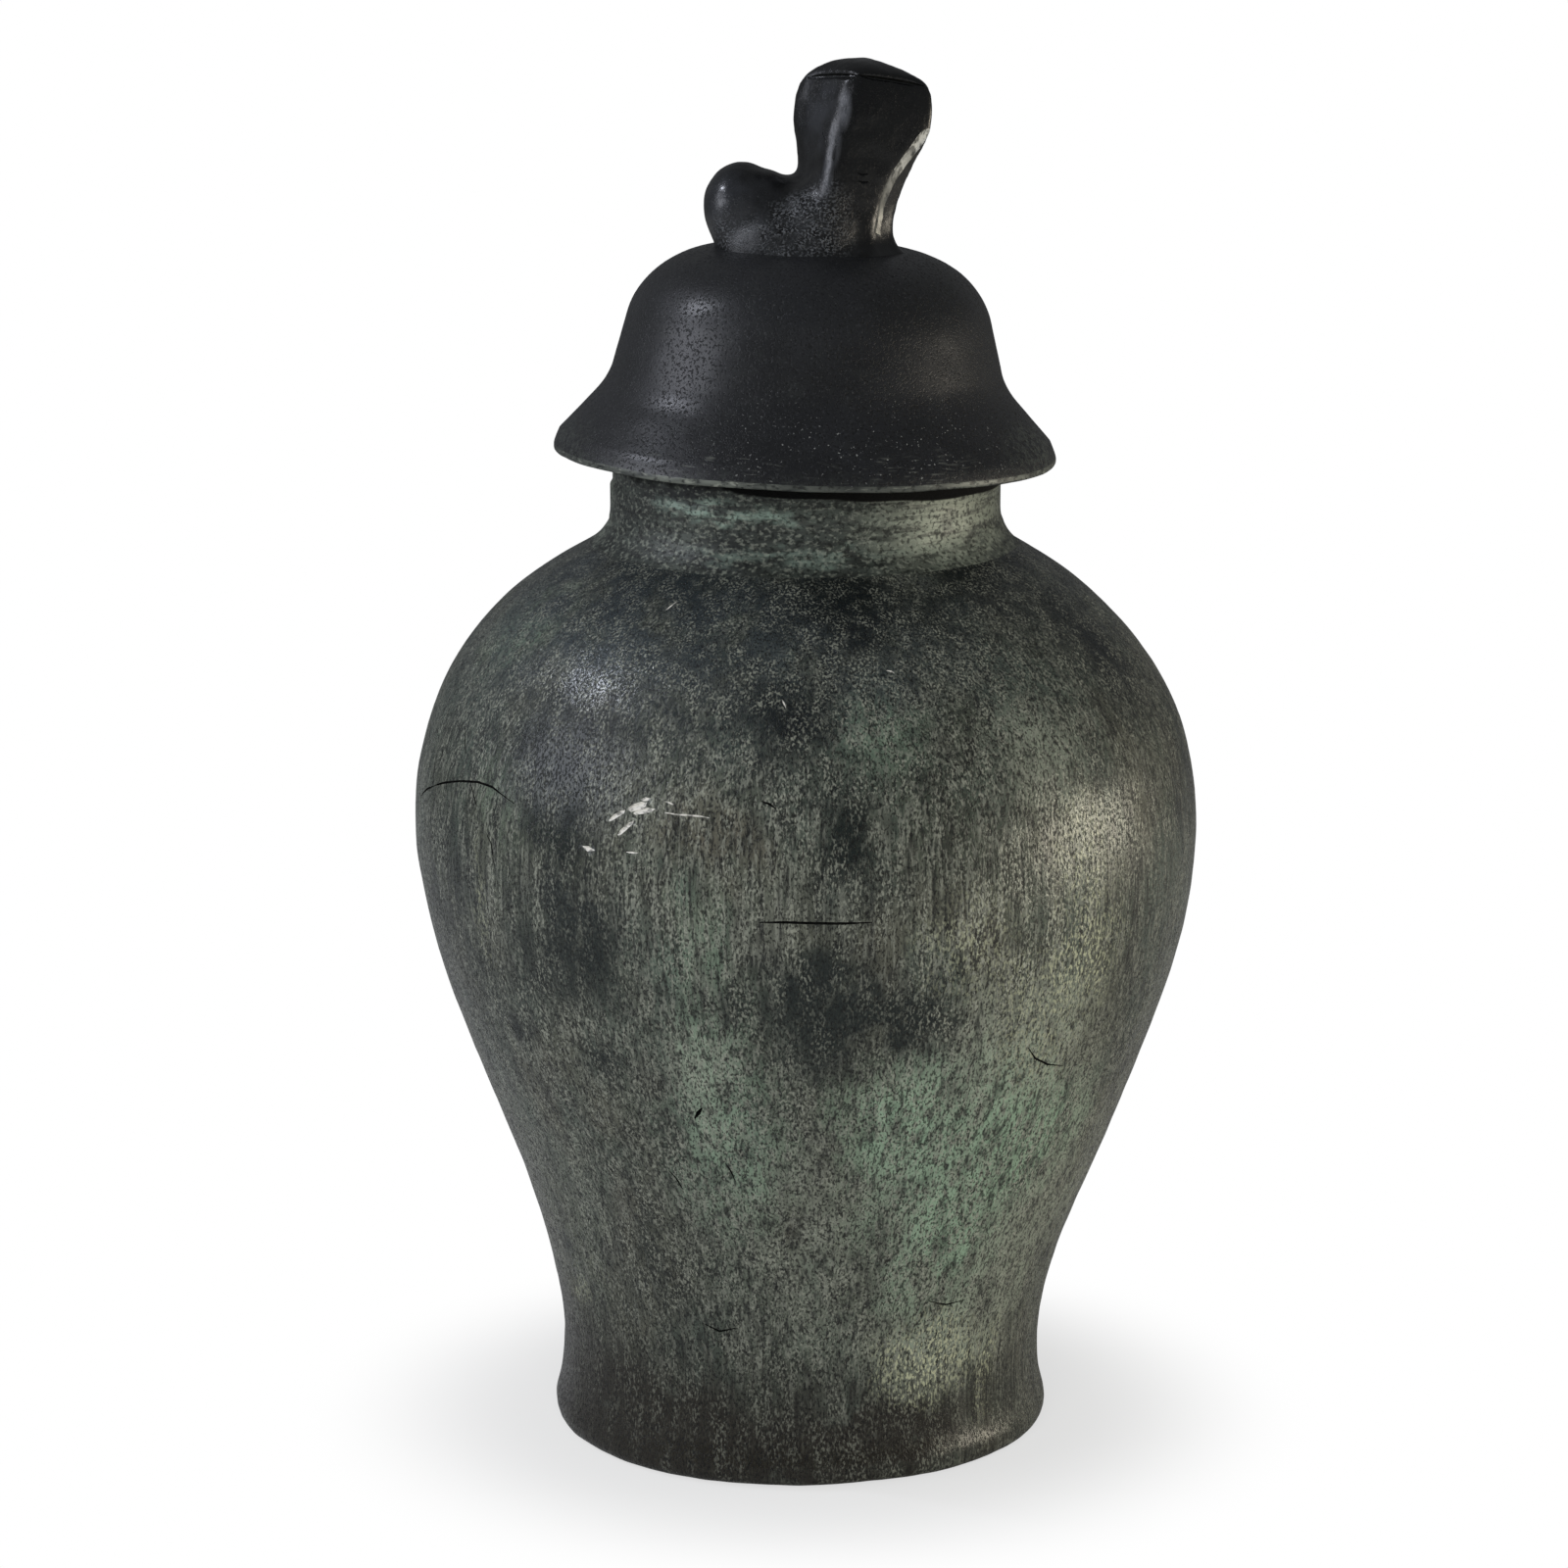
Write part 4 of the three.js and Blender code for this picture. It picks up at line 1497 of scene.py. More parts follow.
@dataclass
class Figure:
    """The cast figure on the crown: a leaning block with a squarish head, and a low lump beside it.

    The block is drawn up level by level and rounded. The lump, the saddle and the apron at the foot are
    rounded masses that run into it.
    """

    lid: Lid
    split: int = 4
    subdivisions: int = 2
    rough_voxel: float = 1.5
    bend_parts: int = 6
    mound_segments: int = 64
    mound_rings: int = 32
    blending: int = 46
    blend_right: float = 8.0
    blend_top: float = 36.0
    blend_edge: float = 8.0
    foot_right: float = 24.0
    foot_top: float = 30.0
    ridge_rounding: int = 14
    ridge_foot: Point = (3.0, 22.0)
    ridge_head: Point = (14.6, 70.0)
    ridge_reach: float = 12.0
    ridge_front: float = -8.0
    rounding: int = 10
    voxel: float = 0.7
    smoothing: int = 4
    base_cut: float = -0.3
    waves: tuple[Waves, ...] = (Waves(22.0, 0.45), Waves(8.0, 0.2), Waves(3.5, 0.07))
    levels: tuple[Level, ...] = (
        Level((-46, 4, -4), (-14, -42, -4), (26, -33, -4), (50, -7, -4), (6, 40, -4)),
        Level((-40, 4, -0.5), (-12, -35.5, -0.5), (25, -26.5, -0.5), (43, -6, -0.5), (8, 34, -0.5)),
        Level((-36, 4, 2), (-10, -31.6, 2), (24.6, -22.6, 2), (38.6, -6, 2), (9, 30, 2)),
        Level((-28, 5, 6), (-6, -29, 6), (25, -20, 6), (36.4, -5, 6), (11, 28, 6)),
        Level((-18, 6, 13.5), (-1, -29.6, 13.5), (26, -18.6, 13.5), (35.4, -5, 13.5), (13, 26, 13.5)),
        Level((-11.5, 8, 21), (2.6, -29.2, 21), (28.4, -17.8, 21), (37, -5.5, 21), (15, 25, 21)),
        Level((-8.4, 9, 29), (4.8, -28.4, 29), (31.6, -16.8, 29), (39.6, -6, 29), (18, 25, 29)),
        Level((-7.4, 9.5, 37), (5.6, -27.4, 37), (36, -15.6, 37), (42.7, -7, 37), (21.5, 26, 37)),
        Level((-8.8, 10, 45), (6.6, -26.4, 45), (41.2, -14, 45), (46.8, -8.5, 45), (25.5, 28, 45)),
        Level((-10.8, 10, 52), (8.4, -25.4, 52), (45.8, -12.6, 52), (50.4, -9.5, 52), (28.5, 29.5, 52)),
        Level((-11, 10, 61), (11.4, -24.2, 61), (47, -11.8, 61), (51.2, -10, 61), (29.5, 30, 61)),
        Level((-9.6, 9.6, 68), (14.4, -22.8, 71), (47, -10.8, 69), (50.8, -10, 69), (29, 29, 71)),
        Level((-7.2, 8.8, 73), (16.4, -20.8, 78), (44.8, -10.2, 74.8), (47.8, -9.8, 74.6), (27, 27, 78.2)),
        Level((-1.6, 6, 78.2), (17, -16, 80.4), (36.4, -7.4, 78.4), (38, -6.5, 78.2), (25, 20, 80.4)),
        Level((6, 3, 81.6), (17.6, -12, 82.2), (27, -6, 81.7), (28, -4, 81.6), (22, 12, 82.2)),
        Level((14, 1, 82.8), (18, -5, 82.9), (21.6, -3, 82.8), (22.2, -1.5, 82.8), (20, 5, 82.9)),
    )
    mounds: tuple[Mound, ...] = (
        Mound((-30.6, 0, 17.2), (17.4, 22.5, 19.6)),
        Mound((-21, 0, 13), (15, 21, 21.4)),
        Mound((-10, 1, 11), (13, 19, 20.6)),
        Mound((-11, -2, 0), (31, 30, 18)),
        Mound((2, -9, 4), (21, 21.5, 27)),
        Mound((-16, -11, 2), (19, 20, 18)),
    )
    creases: tuple[tuple[Point, ...], ...] = (
        ((18.0, 76.5), (25.0, 75.8), (33.0, 74.7), (40.0, 73.5), (46.0, 72.2)),
        ((18.0, 76.5), (13.0, 76.3), (8.0, 75.8), (2.0, 74.8), (-4.0, 73.3)),
    )
    nicks: tuple[tuple[Point, ...], ...] = (
        ((18.6, 35.4), (20.8, 34.6), (23.2, 34.9)),
        ((19.0, 32.0), (21.4, 31.2), (23.6, 31.6)),
        ((3.2, 51.5), (4.4, 49.0)),
    )
    rubbed_highlight_path: tuple[Point, ...] = (
        (49.6, 57.0), (47.4, 52.0), (43.2, 46.0), (39.0, 40.5), (35.2, 34.8),
        (32.2, 29.0), (30.2, 23.0), (29.0, 16.5), (28.0, 9.5), (27.2, 3.0),
    )
    rubbed_highlight_width: float = 11.0
    rubbed_highlight_stands_off: float = 4.6
    rubbed_highlight_rounds: int = 5
    groove_width: float = 3.4
    crease_width: float = 1.1
    nick_width: float = 1.5
    line_sharp: float = 0.4
    sight_start: float = -100.0
    sharp_angle: float = 32.0

    def build(self, finish: Finish, bare: Finish, grime_and_shade: Finish, rubbed_highlight: Finish) -> None:
        """Builds and dresses the figure and its fixings.

        Args:
            finish: Finish of the figure.
            bare: Finish of its stud, washer, nut and dowel.
            grime_and_shade: Finish inside its creases: dirt, with the shade inside them painted in.
            rubbed_highlight: Finish of its bevel, worn through and painted pale as a highlight.
        """
        figure = self._block()
        masses = [self._mound(mound) for mound in self.mounds]
        bpy.ops.object.select_all(action="DESELECT")
        for piece in (*masses, figure):
            piece.select_set(True)
        bpy.context.view_layer.objects.active = figure
        bpy.ops.object.join()
        apply_modifier(figure, "REMESH", mode="VOXEL", voxel_size=self.rough_voxel * MM)
        self._blend(figure)
        self._cut_lines(figure, self.creases, self.groove_width, finish)
        apply_modifier(figure, "REMESH", mode="VOXEL", voxel_size=self.voxel * MM)
        melt(figure, self.smoothing)
        work_by_hand(figure, self.waves)
        coat(figure, finish)
        self._cut_lines(figure, self.creases, self.crease_width, grime_and_shade)
        self._cut_lines(figure, self.nicks, self.nick_width, finish)
        self._cut_lines(figure, (self.rubbed_highlight_path,), self.rubbed_highlight_width, rubbed_highlight, self.rubbed_highlight_stands_off, self.rubbed_highlight_rounds)
        self._trim(figure)
        self.lid.set_on_mouth(figure, self.lid.shape.crown_height)
        smooth(figure, self.sharp_angle)
        settle(figure, finish, Rides.LID, "finial")
        for node in ("finial_stud", "finial_washer", "finial_nut", "finial_dowel"):
            dress(node, bare)

    def _block(self) -> Piece:
        """Draws the block up level by level and rounds it.

        Returns:
            The closed block, with heights from the crown.
        """
        count = self.split * len(self.levels[0].corners())
        piece = added(bpy.ops.mesh.primitive_circle_add, vertices=count, radius=MM, fill_type="NGON")
        piece.name = piece.data.name = "lid_figure"
        bpy.ops.object.mode_set(mode="EDIT")
        bpy.ops.mesh.select_all(action="SELECT")
        for _ in self.levels[1:]:
            bpy.ops.mesh.extrude_region_move(TRANSFORM_OT_translate={"value": (0, 0, MM)})
        bpy.ops.mesh.select_all(action="SELECT")
        bpy.ops.mesh.normals_make_consistent(inside=False)
        bpy.ops.object.mode_set(mode="OBJECT")
        rings = [self._ring(level) for level in self.levels]
        for vertex in piece.data.vertices:
            turn_share = math.atan2(vertex.co.y, vertex.co.x) / (2 * math.pi)
            column, row = round(turn_share * count) % count, round(vertex.co.z / MM)
            vertex.co = rings[row][column] * MM
        apply_modifier(piece, "SUBSURF", levels=self.subdivisions, render_levels=self.subdivisions)
        return piece

    def _ring(self, level: Level) -> list[Vector]:
        """Gives the points of a level, its corners pushed out by what rounding takes off again.

        Args:
            level: The level.

        Returns:
            The points in turn, starting at the right corner.
        """
        corners = level.corners()
        points = [
            corners[i].lerp(corners[(i + 1) % len(corners)], step / self.split)
            for i in range(len(corners))
            for step in range(self.split)
        ]
        count = len(points)
        for k in range(0, count, self.split):
            bend = 2 * points[k] - points[k - 1] - points[(k + 1) % count]
            points[k] = points[k] + bend / self.bend_parts
        return points

    def _mound(self, mound: Mound) -> Piece:
        """Makes a rounded mass.

        Args:
            mound: Its place and size.

        Returns:
            The mass, with heights from the crown.
        """
        sphere = bpy.ops.mesh.primitive_uv_sphere_add
        piece = added(sphere, segments=self.mound_segments, ring_count=self.mound_rings, radius=MM)
        piece.scale = mound.reach
        move(piece, mound.middle)
        return piece

    def _blend(self, piece: Piece) -> None:
        """Melts the seams between the masses, left of the block and at its foot, and rounds its edges.

        Args:
            piece: The masses, as one mesh.
        """
        seams = piece.vertex_groups.new(name="seams")
        ridge = piece.vertex_groups.new(name="ridge")
        (foot_x, foot_z), (head_x, head_z) = self.ridge_foot, self.ridge_head
        for vertex in piece.data.vertices:
            x, y, z = vertex.co / MM
            left = self._share(self.blend_right - x) * self._share(self.blend_top - z)
            foot = self._share(self.foot_right - x) * self._share(self.foot_top - z)
            seams.add([vertex.index], max(left, foot), "REPLACE")
            line = foot_x + (head_x - foot_x) * (z - foot_z) / (head_z - foot_z)
            near = self._share(self.ridge_reach - abs(x - line)) * self._share(self.ridge_front - y)
            along = self._share(z - foot_z) * self._share(head_z - z)
            ridge.add([vertex.index], near * along, "REPLACE")
        melt(piece, self.blending, seams.name)
        melt(piece, self.ridge_rounding, ridge.name)
        melt(piece, self.rounding)

    def _share(self, inside: float) -> float:
        """Gives how far a place that lies some way inside a border is blended."""
        return min(1.0, max(0.0, inside / self.blend_edge))

    def _cut_lines(
        self,
        piece: Piece,
        lines: Sequence[Sequence[Point]],
        width: float,
        finish: Finish,
        stands_off: float = 0.0,
        rounds: int = 1,
    ) -> None:
        """Cuts lines into the front of the figure.

        Args:
            piece: The figure.
            lines: Each a path of places along X and heights.
            width: Greatest width of the round cutter.
            finish: Finish of the cut faces.
            stands_off: How far the cutter's middle stands off the surface.
            rounds: Steps that round the cutter's section.
        """
        cutters = []
        for line in lines:
            points = []
            for x, z in line:
                sight = (x * MM, self.sight_start * MM, z * MM)
                _, place, normal, _ = piece.ray_cast(sight, (0, 1, 0))
                points.append(place + normal * (stands_off * MM))
            cutters.append(tube(points, width, self.line_sharp, rounds))
            coat(cutters[-1], finish)
        cut(piece, cutters)

    def _trim(self, piece: Piece) -> None:
        """Cuts the form off flat where it stands on the crown.

        Args:
            piece: The figure.
        """
        only(piece)
        foot = (0, 0, self.base_cut * MM)
        bpy.ops.object.mode_set(mode="EDIT")
        bpy.ops.mesh.select_all(action="SELECT")
        bpy.ops.mesh.bisect(plane_co=foot, plane_no=(0, 0, 1), use_fill=True, clear_inner=True)
        bpy.ops.object.mode_set(mode="OBJECT")


@dataclass
class SeatRing:
    """The loose cork ring on the mouth."""

    lid: Lid
    inner: float = 80.0
    outer: float = 85.0
    low: float = 0.1
    high: float = 2.4
    edge: float = 0.5
    sharp_angle: float = 60.0
    steps: int = 192

    def build(self, cork: Finish) -> None:
        """Builds and dresses the ring.

        Args:
            cork: Its finish.
        """
        low, high, edge = self.low, self.high, self.edge
        section = [
            (self.inner, low + edge),
            (self.inner + edge, low),
            (self.outer - edge, low),
            (self.outer, low + edge),
            (self.outer, high - edge),
            (self.outer - edge, high),
            (self.inner + edge, high),
            (self.inner, high - edge),
        ]
        ring = turn("mouth_cork", section, self.steps)
        self.lid.set_on_mouth(ring)
        smooth(ring, self.sharp_angle)
        settle(ring, cork, Rides.SEAT, "cork_seat_ring")


# The studio


@dataclass(frozen=True)
class Lamp:
    """A soft box.

    Attributes:
        name: Its name.
        place: Where it hangs, in metres.
        aim: What it points at, in metres.
        size: Width and height, in metres.
        watts: Its power.
        colour: Its sRGB colour.
        mirrored: Whether it shows in gloss.
    """

    name: str
    place: Place
    aim: Place
    size: Point
    watts: float
    colour: str
    mirrored: bool = True


@dataclass
class Studio:
    """Floor, lamps, surrounding light and camera.

    Its places and sizes are in metres, its lens and sensor in millimetres.
    """

    eye: Place = (0.0, -2.1, 0.755)
    target: Place = (-0.00932, 0.0, 0.29029)
    lens: float = 111.19
    sensor: float = 36.0
    floor_size: float = 400.0
    floor_colour: str = "#dededc"
    shade_from: float = 0.10
    shade_to: float = 0.24
    shade_least: float = 0.66
    surround: str = "#dfe2e6"
    surround_strength: float = 0.16
    lamps: tuple[Lamp, ...] = (
        Lamp("left_window", (-1.74, -0.47, 0.95), (0, 0, 0.45), (1.15, 0.75), 9.0, "#f1f4ff"),
        Lamp("left_high_box", (-1.68, 0.03, 1.86), (0, 0, 0.36), (0.13, 0.13), 8.0, "#eef2ff"),
        Lamp("right_window", (1.88, -0.1, 0.24), (0, 0, 0.30), (1.1, 0.44), 11.0, "#fff4e0"),
        Lamp("front_fill", (-0.3, -2.9, 1.5), (0, 0, 0.25), (2.0, 1.5), 38.0, "#ffffff", False),
    )

    def build(self) -> None:
        """Sets up the floor, the lamps, the surrounding light and the camera."""
        self._floor()
        self._world()
        for lamp in self.lamps:
            self._lamp(lamp)
        self._camera()

    def _floor(self) -> None:
        """Lays the floor, white away from the urn and shaded by it close up."""
        floor = added(bpy.ops.mesh.primitive_plane_add, size=self.floor_size)
        floor.name = "floor"
        material = bpy.data.materials.new("pale_paper_floor")
        tree = bare_tree(material)
        place = add_node(tree, "TexCoord").outputs["Object"]
        away = add_node(tree, "VectorMath", {0: place}, operation="LENGTH")
        limits = {
            "Value": away.outputs["Value"],
            "From Min": self.shade_from,
            "From Max": self.shade_to,
            "To Min": self.shade_least,
        }
        far = add_node(tree, "MapRange", limits, interpolation_type="SMOOTHERSTEP")
        seen = add_node(tree, "LightPath").outputs["Is Camera Ray"]
        white = add_node(tree, "Math", {0: seen, 1: far.outputs[0]}, operation="MULTIPLY")
        paper = add_node(tree, "BsdfDiffuse", {"Color": linear(self.floor_colour)})
        glow = add_node(tree, "Emission", {"Color": linear(WHITE), "Strength": 1.0})
        mixed = {0: white.outputs[0], 1: paper.outputs[0], 2: glow.outputs[0]}
        shader = add_node(tree, "MixShader", mixed)
        add_node(tree, "OutputMaterial", {"Surface": shader.outputs[0]})
        floor.data.materials.append(material)

    def _world(self) -> None:
        """Fills the studio with plain, even light, and shows the camera white."""
        world = bpy.data.worlds.new("studio")
        bpy.context.scene.world = world
        tree = bare_tree(world)
        light = {"Color": linear(self.surround), "Strength": self.surround_strength}
        fill = add_node(tree, "Background", light)
        white = add_node(tree, "Background", {"Color": linear(WHITE), "Strength": 1.0})
        seen = add_node(tree, "LightPath").outputs["Is Camera Ray"]
        shader = add_node(tree, "MixShader", {0: seen, 1: fill.outputs[0], 2: white.outputs[0]})
        add_node(tree, "OutputWorld", {"Surface": shader.outputs[0]})

    def _lamp(self, lamp: Lamp) -> None:
        """Hangs a soft box and points it.

        Args:
            lamp: The soft box.
        """
        data = bpy.data.lights.new(lamp.name, "AREA")
        data.shape = "RECTANGLE"
        data.size, data.size_y = lamp.size
        data.energy = lamp.watts
        data.color = linear(lamp.colour)[:3]
        self._stand(data, lamp.place, lamp.aim).visible_glossy = lamp.mirrored

    def _camera(self) -> None:
        """Stands the camera where the photograph was taken."""
        data = bpy.data.cameras.new("camera")
        data.lens = self.lens
        data.sensor_width = self.sensor
        bpy.context.scene.camera = self._stand(data, self.eye, self.target)
        bpy.context.scene.view_settings.view_transform = "Standard"

    def _stand(self, data: bpy.types.Light | bpy.types.Camera, place: Place, aim: Place) -> Piece:
        """Stands a lamp or a camera somewhere and points it.

        Args:
            data: The lamp or camera.
            place: Where it stands, in metres.
            aim: What it points at, in metres.

        Returns:
            Its object.
        """
        stood = bpy.data.objects.new(data.name, data)
        bpy.context.scene.collection.objects.link(stood)
        stood.location = place
        onward = Vector(aim) - Vector(place)
        stood.rotation_euler = onward.to_track_quat("-Z", "Y").to_euler()
        return stood


MOUTH_TILT = 1.8
MOUTH_HEIGHT = 450.0

# Cast bronze under a chemical patina, brushed on wet and rubbed back: brown and grey clouds, a green bloom
# low on the front, dark smudges, upright brush marks, and a sandy grain of pale crests and dark pits.
# Painted
# light is mixed in: shade over the shoulder and down both edges, light low on the belly and a sheen on its
# right.
BODY_PATINA = Finish(
    name="brushed_green_brown_patina_on_bronze",
    slot=Slot.BODY,
    ground="#45463f",
    roughness=0.24,
    metallic=0.1,
    specular=0.45,
    coats=(
        # Broad clouds of brown and of grey-green
        Coat("#5c564c", Grain((64, 100), 0.40, 0.62), 0.8),
        Coat("#4f5a54", Grain((46, 84), 0.44, 0.62, 3, 3.1), 0.6),
        Coat(
            "#665f54", Grain((20, 34), 0.30, 0.62, 4, 1.7), 0.0,
            (
                patch(-17, 298, 171, 36, 44, 0.7), patch(-6, 298, 171, 30, 26, 0.6),
                patch(-52, 250, 172, 20, 50, 0.4), patch(150, 270, 172, 60, 60, 0.5),
            ),
        ),
        # Olive low on both sides
        Coat(
            "#5a5543", Grain((24, 50), 0.26, 0.58, 4, 8.8), 0.0,
            (patch(-64, 90, 120, 50, 90, 0.5), patch(72, 150, 140, 44, 110, 0.5)),
        ),
        # Pale green-grey bloom of the lower belly, which also paints in light low on the belly and on its
        # right
        Coat(
            "#a1a897", Grain((22, 100), 0.22, 0.6, 4, 5.5), 0.0,
            (
                Spot((52, -84, 128), (116, 110, 92), 0.5), Spot((-16, -110, 130), (60, 60, 40), 0.25),
                patch(38, 334, 162, 34, 36, 0.45), patch(-58, 130, 134, 50, 60, 0.2),
                patch(36, 200, 158, 62, 56, 0.9), patch(50, 120, 128, 56, 84, 0.8),
                patch(34, 60, 112, 40, 34, 0.7), patch(-16, 195, 157, 22, 56, 0.6),
                patch(-160, 130, 134, 90, 80, 0.45),
            ),
        ),
        # Verdigris
        Coat(
            "#a3bfa3", Grain((14, 64), 0.14, 0.56, 5, 7.3), 0.08,
            (
                patch(28, 152, 142, 60, 70, 0.6), patch(43, 160, 145, 46, 40, 0.5),
                patch(29, 102, 122, 32, 50, 0.45), patch(14, 182, 151, 34, 34, 0.5),
                patch(-14, 240, 169, 24, 58, 0.3), patch(-13, 165, 146, 34, 70, 0.36),
                patch(-66, 372, 132, 34, 40, 0.4), patch(-47, 318, 168, 26, 34, 0.25),
                patch(12, 345, 156, 26, 34, 0.25), patch(130, 180, 150, 60, 70, 0.4),
                patch(-140, 330, 164, 60, 60, 0.3),
            ),
        ),
        # Cloudlets a finger wide
        Coat("#2f312e", Grain((9, 24), 0.50, 0.66, 5, 2.7), 0.6),
        Coat("#77796e", Grain((9, 40), 0.52, 0.68, 5, 4.9), 0.5),
        # Upright brush marks
        Coat("#262826", Grain((1.9, 42), 0.48, 0.63, 3, 2.2), 0.8, (), None, -0.05),
        Coat("#9a9d90", Grain((1.7, 36), 0.50, 0.65, 3, 5.9), 0.6, (), None, 0.04),
        # Cool grey over the shoulder, most on the left
        Coat(
            "#41494d", Grain((20, 30), 0.24, 0.58, 4, 3.4), 0.0,
            (Spot((-70, -60, 382), (170, 170, 84), 0.55), Spot((0, -60, 372), (150, 150, 50), 0.25)),
        ),
        # Charcoal on the shoulder, darkest round the neck: partly the patina and partly painted shade
        Coat(
            "#1d2224", Grain((34, 26), 0.20, 0.54, 4, 6.2), 0.0,
            (
                Spot((36, 0, 408), (214, 214, 56), 0.8), patch(12, 384, 116, 44, 26, 0.4),
                patch(-14, 366, 144, 50, 30, 0.2), patch(64, 360, 144, 46, 44, 0.5),
                patch(16, 330, 163, 26, 24, 0.3), patch(-2, 352, 152, 32, 40, 0.55),
                patch(-40, 334, 162, 48, 42, 0.75),
            ),
        ),
        # Dark smudges, and painted shade down the left and right edges of the belly
        Coat(
            "#212826", Grain((15, 17), 0.24, 0.52, 4, 11.7), 0.06,
            (
                patch(-32, 252, 172, 32, 38, 0.75), patch(-37, 300, 172, 38, 46, 0.65),
                patch(-56, 225, 166, 34, 70, 0.4), patch(-64, 275, 173, 34, 50, 0.35),
                patch(-44, 340, 160, 24, 24, 0.5), patch(6, 305, 170, 24, 50, 0.6),
                patch(4, 222, 165, 38, 30, 0.75), patch(16, 228, 166, 24, 20, 0.8),
                patch(-10, 231, 167, 17, 15, 0.5), patch(2, 246, 170, 32, 18, 0.7),
                patch(-62, 100, 120, 60, 110, 0.2), patch(-43, 238, 169, 22, 44, 0.5),
                patch(-72, 220, 165, 32, 80, 0.45), patch(-32, 84, 116, 40, 40, 0.3),
                patch(-32, 202, 160, 17, 11, 0.55), patch(-50, 205, 160, 17, 12, 0.55),
                patch(-32, 118, 128, 14, 50, 0.4), patch(80, 300, 172, 36, 80, 0.4),
                patch(-120, 240, 170, 50, 40, 0.5),
            ),
        ),
        # Foot, darker and browner
        Coat(
            "#28251f", Grain((22, 14), 0.12, 0.48, 4, 4.4), 0.0,
            (Spot((-64, 0, -4), (220, 220, 88), 1.3), patch(22, 26, 108, 40, 20, 0.4)),
        ),
        # Rubbed crests and dark pits, a grain of half a millimetre drawn nearer to one so that it shows.
        # The extra crests on the right of the belly are partly a painted sheen
        Coat(
            "#b4b7a7", Grain((1.0, 2.0), 0.48, 0.62, 2, 1.3), 0.56,
            (
                patch(43, 280, 172, 44, 60, 0.12), patch(44, 140, 136, 60, 90, 0.25),
                patch(30, 250, 171, 60, 50, 0.3), Spot((-60, 0, 0), (220, 220, 110), -0.3),
                Spot((0, 0, 412), (190, 190, 50), -0.12), patch(6, 224, 165, 42, 32, -0.22),
                patch(-32, 256, 172, 34, 40, -0.2), patch(-40, 320, 168, 44, 50, -0.15),
            ),
            None, 0.08, Grain((7, 30), 0.36, 0.64, 3, 8.1),
        ),
        Coat("#0c0d0c", Grain((0.85, 1.7), 0.50, 0.63, 2, 9.4), 0.8, (), 0.6, -0.10),
        # Cream flecks on the right of the belly and low on the right; on the belly they also paint in the
        # right lamp's sheen
        Coat(
            "#c6caaa", Grain((1.0, 2.4), 0.50, 0.64, 2, 6.6), 0.02,
            (
                patch(23, 258, 171, 30, 28, 0.34), patch(34, 236, 168, 32, 26, 0.4),
                patch(43, 268, 172, 24, 60, 0.35), patch(46, 240, 169, 26, 30, 0.45),
                patch(30, 55, 110, 32, 26, 0.9), patch(48, 46, 108, 9, 30, 0.6),
                patch(38, 205, 160, 30, 30, 0.4), patch(-60, 78, 114, 8, 14, 0.4),
                patch(-54, 258, 172, 8, 40, 0.35),
            ),
        ),
    ),
)

# The same bronze on the neck, wiped round instead of up: greyer, crackled, with level scuffs, and with
# a black band of painted shadow round its top, where the lid's brim shades it.
NECK_PATINA = Finish(
    name="wiped_grey_green_patina_on_bronze",
    slot=Slot.BODY,
    ground="#3a3d3a",
    roughness=0.44,
    metallic=0.1,
    specular=0.45,
    wander=4.0,
    coats=(
        Coat("#4f544e", Grain((30, 14), 0.42, 0.62), 0.7),
        Coat(
            "#959d8d", Grain((14, 9), 0.24, 0.56, 4, 3.7), 0.04,
            (patch(50, 420, 86, 58, 44, 0.8), patch(-100, 420, 86, 50, 30, 0.5)),
        ),
        Coat(
            "#93a89a", Grain((12, 3), 0.36, 0.56, 4, 1.9), 0.06,
            (
                patch(-34, 425, 86, 30, 6, 0.8), Spot(on_jar(-12, 424, 86), (26, 20, 5), 0.6),
                Spot(on_jar(-8, 407, 92), (70, 40, 5), 0.3),
            ),
        ),
        # Dark patches; the one high on the left, just under the brim, adds to the painted shadow there
        Coat(
            "#222625", Grain((14, 8), 0.28, 0.58, 4, 6.4), 0.10,
            (
                patch(-20, 412, 88, 26, 9, 0.4), Spot(on_jar(-34, 432, 86), (50, 40, 9), 0.6),
                patch(-66, 418, 86, 24, 24, 0.5), Spot((0, 0, 400), (150, 150, 8), 0.5),
            ),
        ),
        Coat("#242725", Grain((20, 2.4), 0.46, 0.64, 4, 2.2), 0.7, (), None, -0.06),
        Coat("#b4baaa", Grain((2.2, 1.5), 0.50, 0.66, 3, 5.4), 0.34, (), None, 0.06),
        Coat("#141615", Grain((1.9, 1.6), 0.50, 0.64, 3, 7.7), 0.7, (), 0.62, -0.10),
        # Painted shadow of the lid's brim: a black, dead matt band round the top of the neck, crisp at its
        # lower edge
        Coat(
            "#0a0b0a", Grain((20, 20), 0.1, 0.4), 0.0,
            (
                Spot((0, 0, 437.4), (160, 160, 5.5), 0.9), patch(2, 435.2, 85.5, 40, 3.8, 3.0, False),
                patch(26, 433.4, 85.5, 36, 4.0, 3.0, False),
                patch(48, 431.6, 85.5, 36, 4.0, 3.0, False),
                patch(68, 432.2, 85.5, 34, 5.4, 3.0, False),
                patch(92, 432.8, 85.5, 38, 5.4, 3.0, False),
                patch(118, 434.4, 85.5, 38, 4.0, 3.0, False),
            ),
            1.0,
        ),
    ),
)

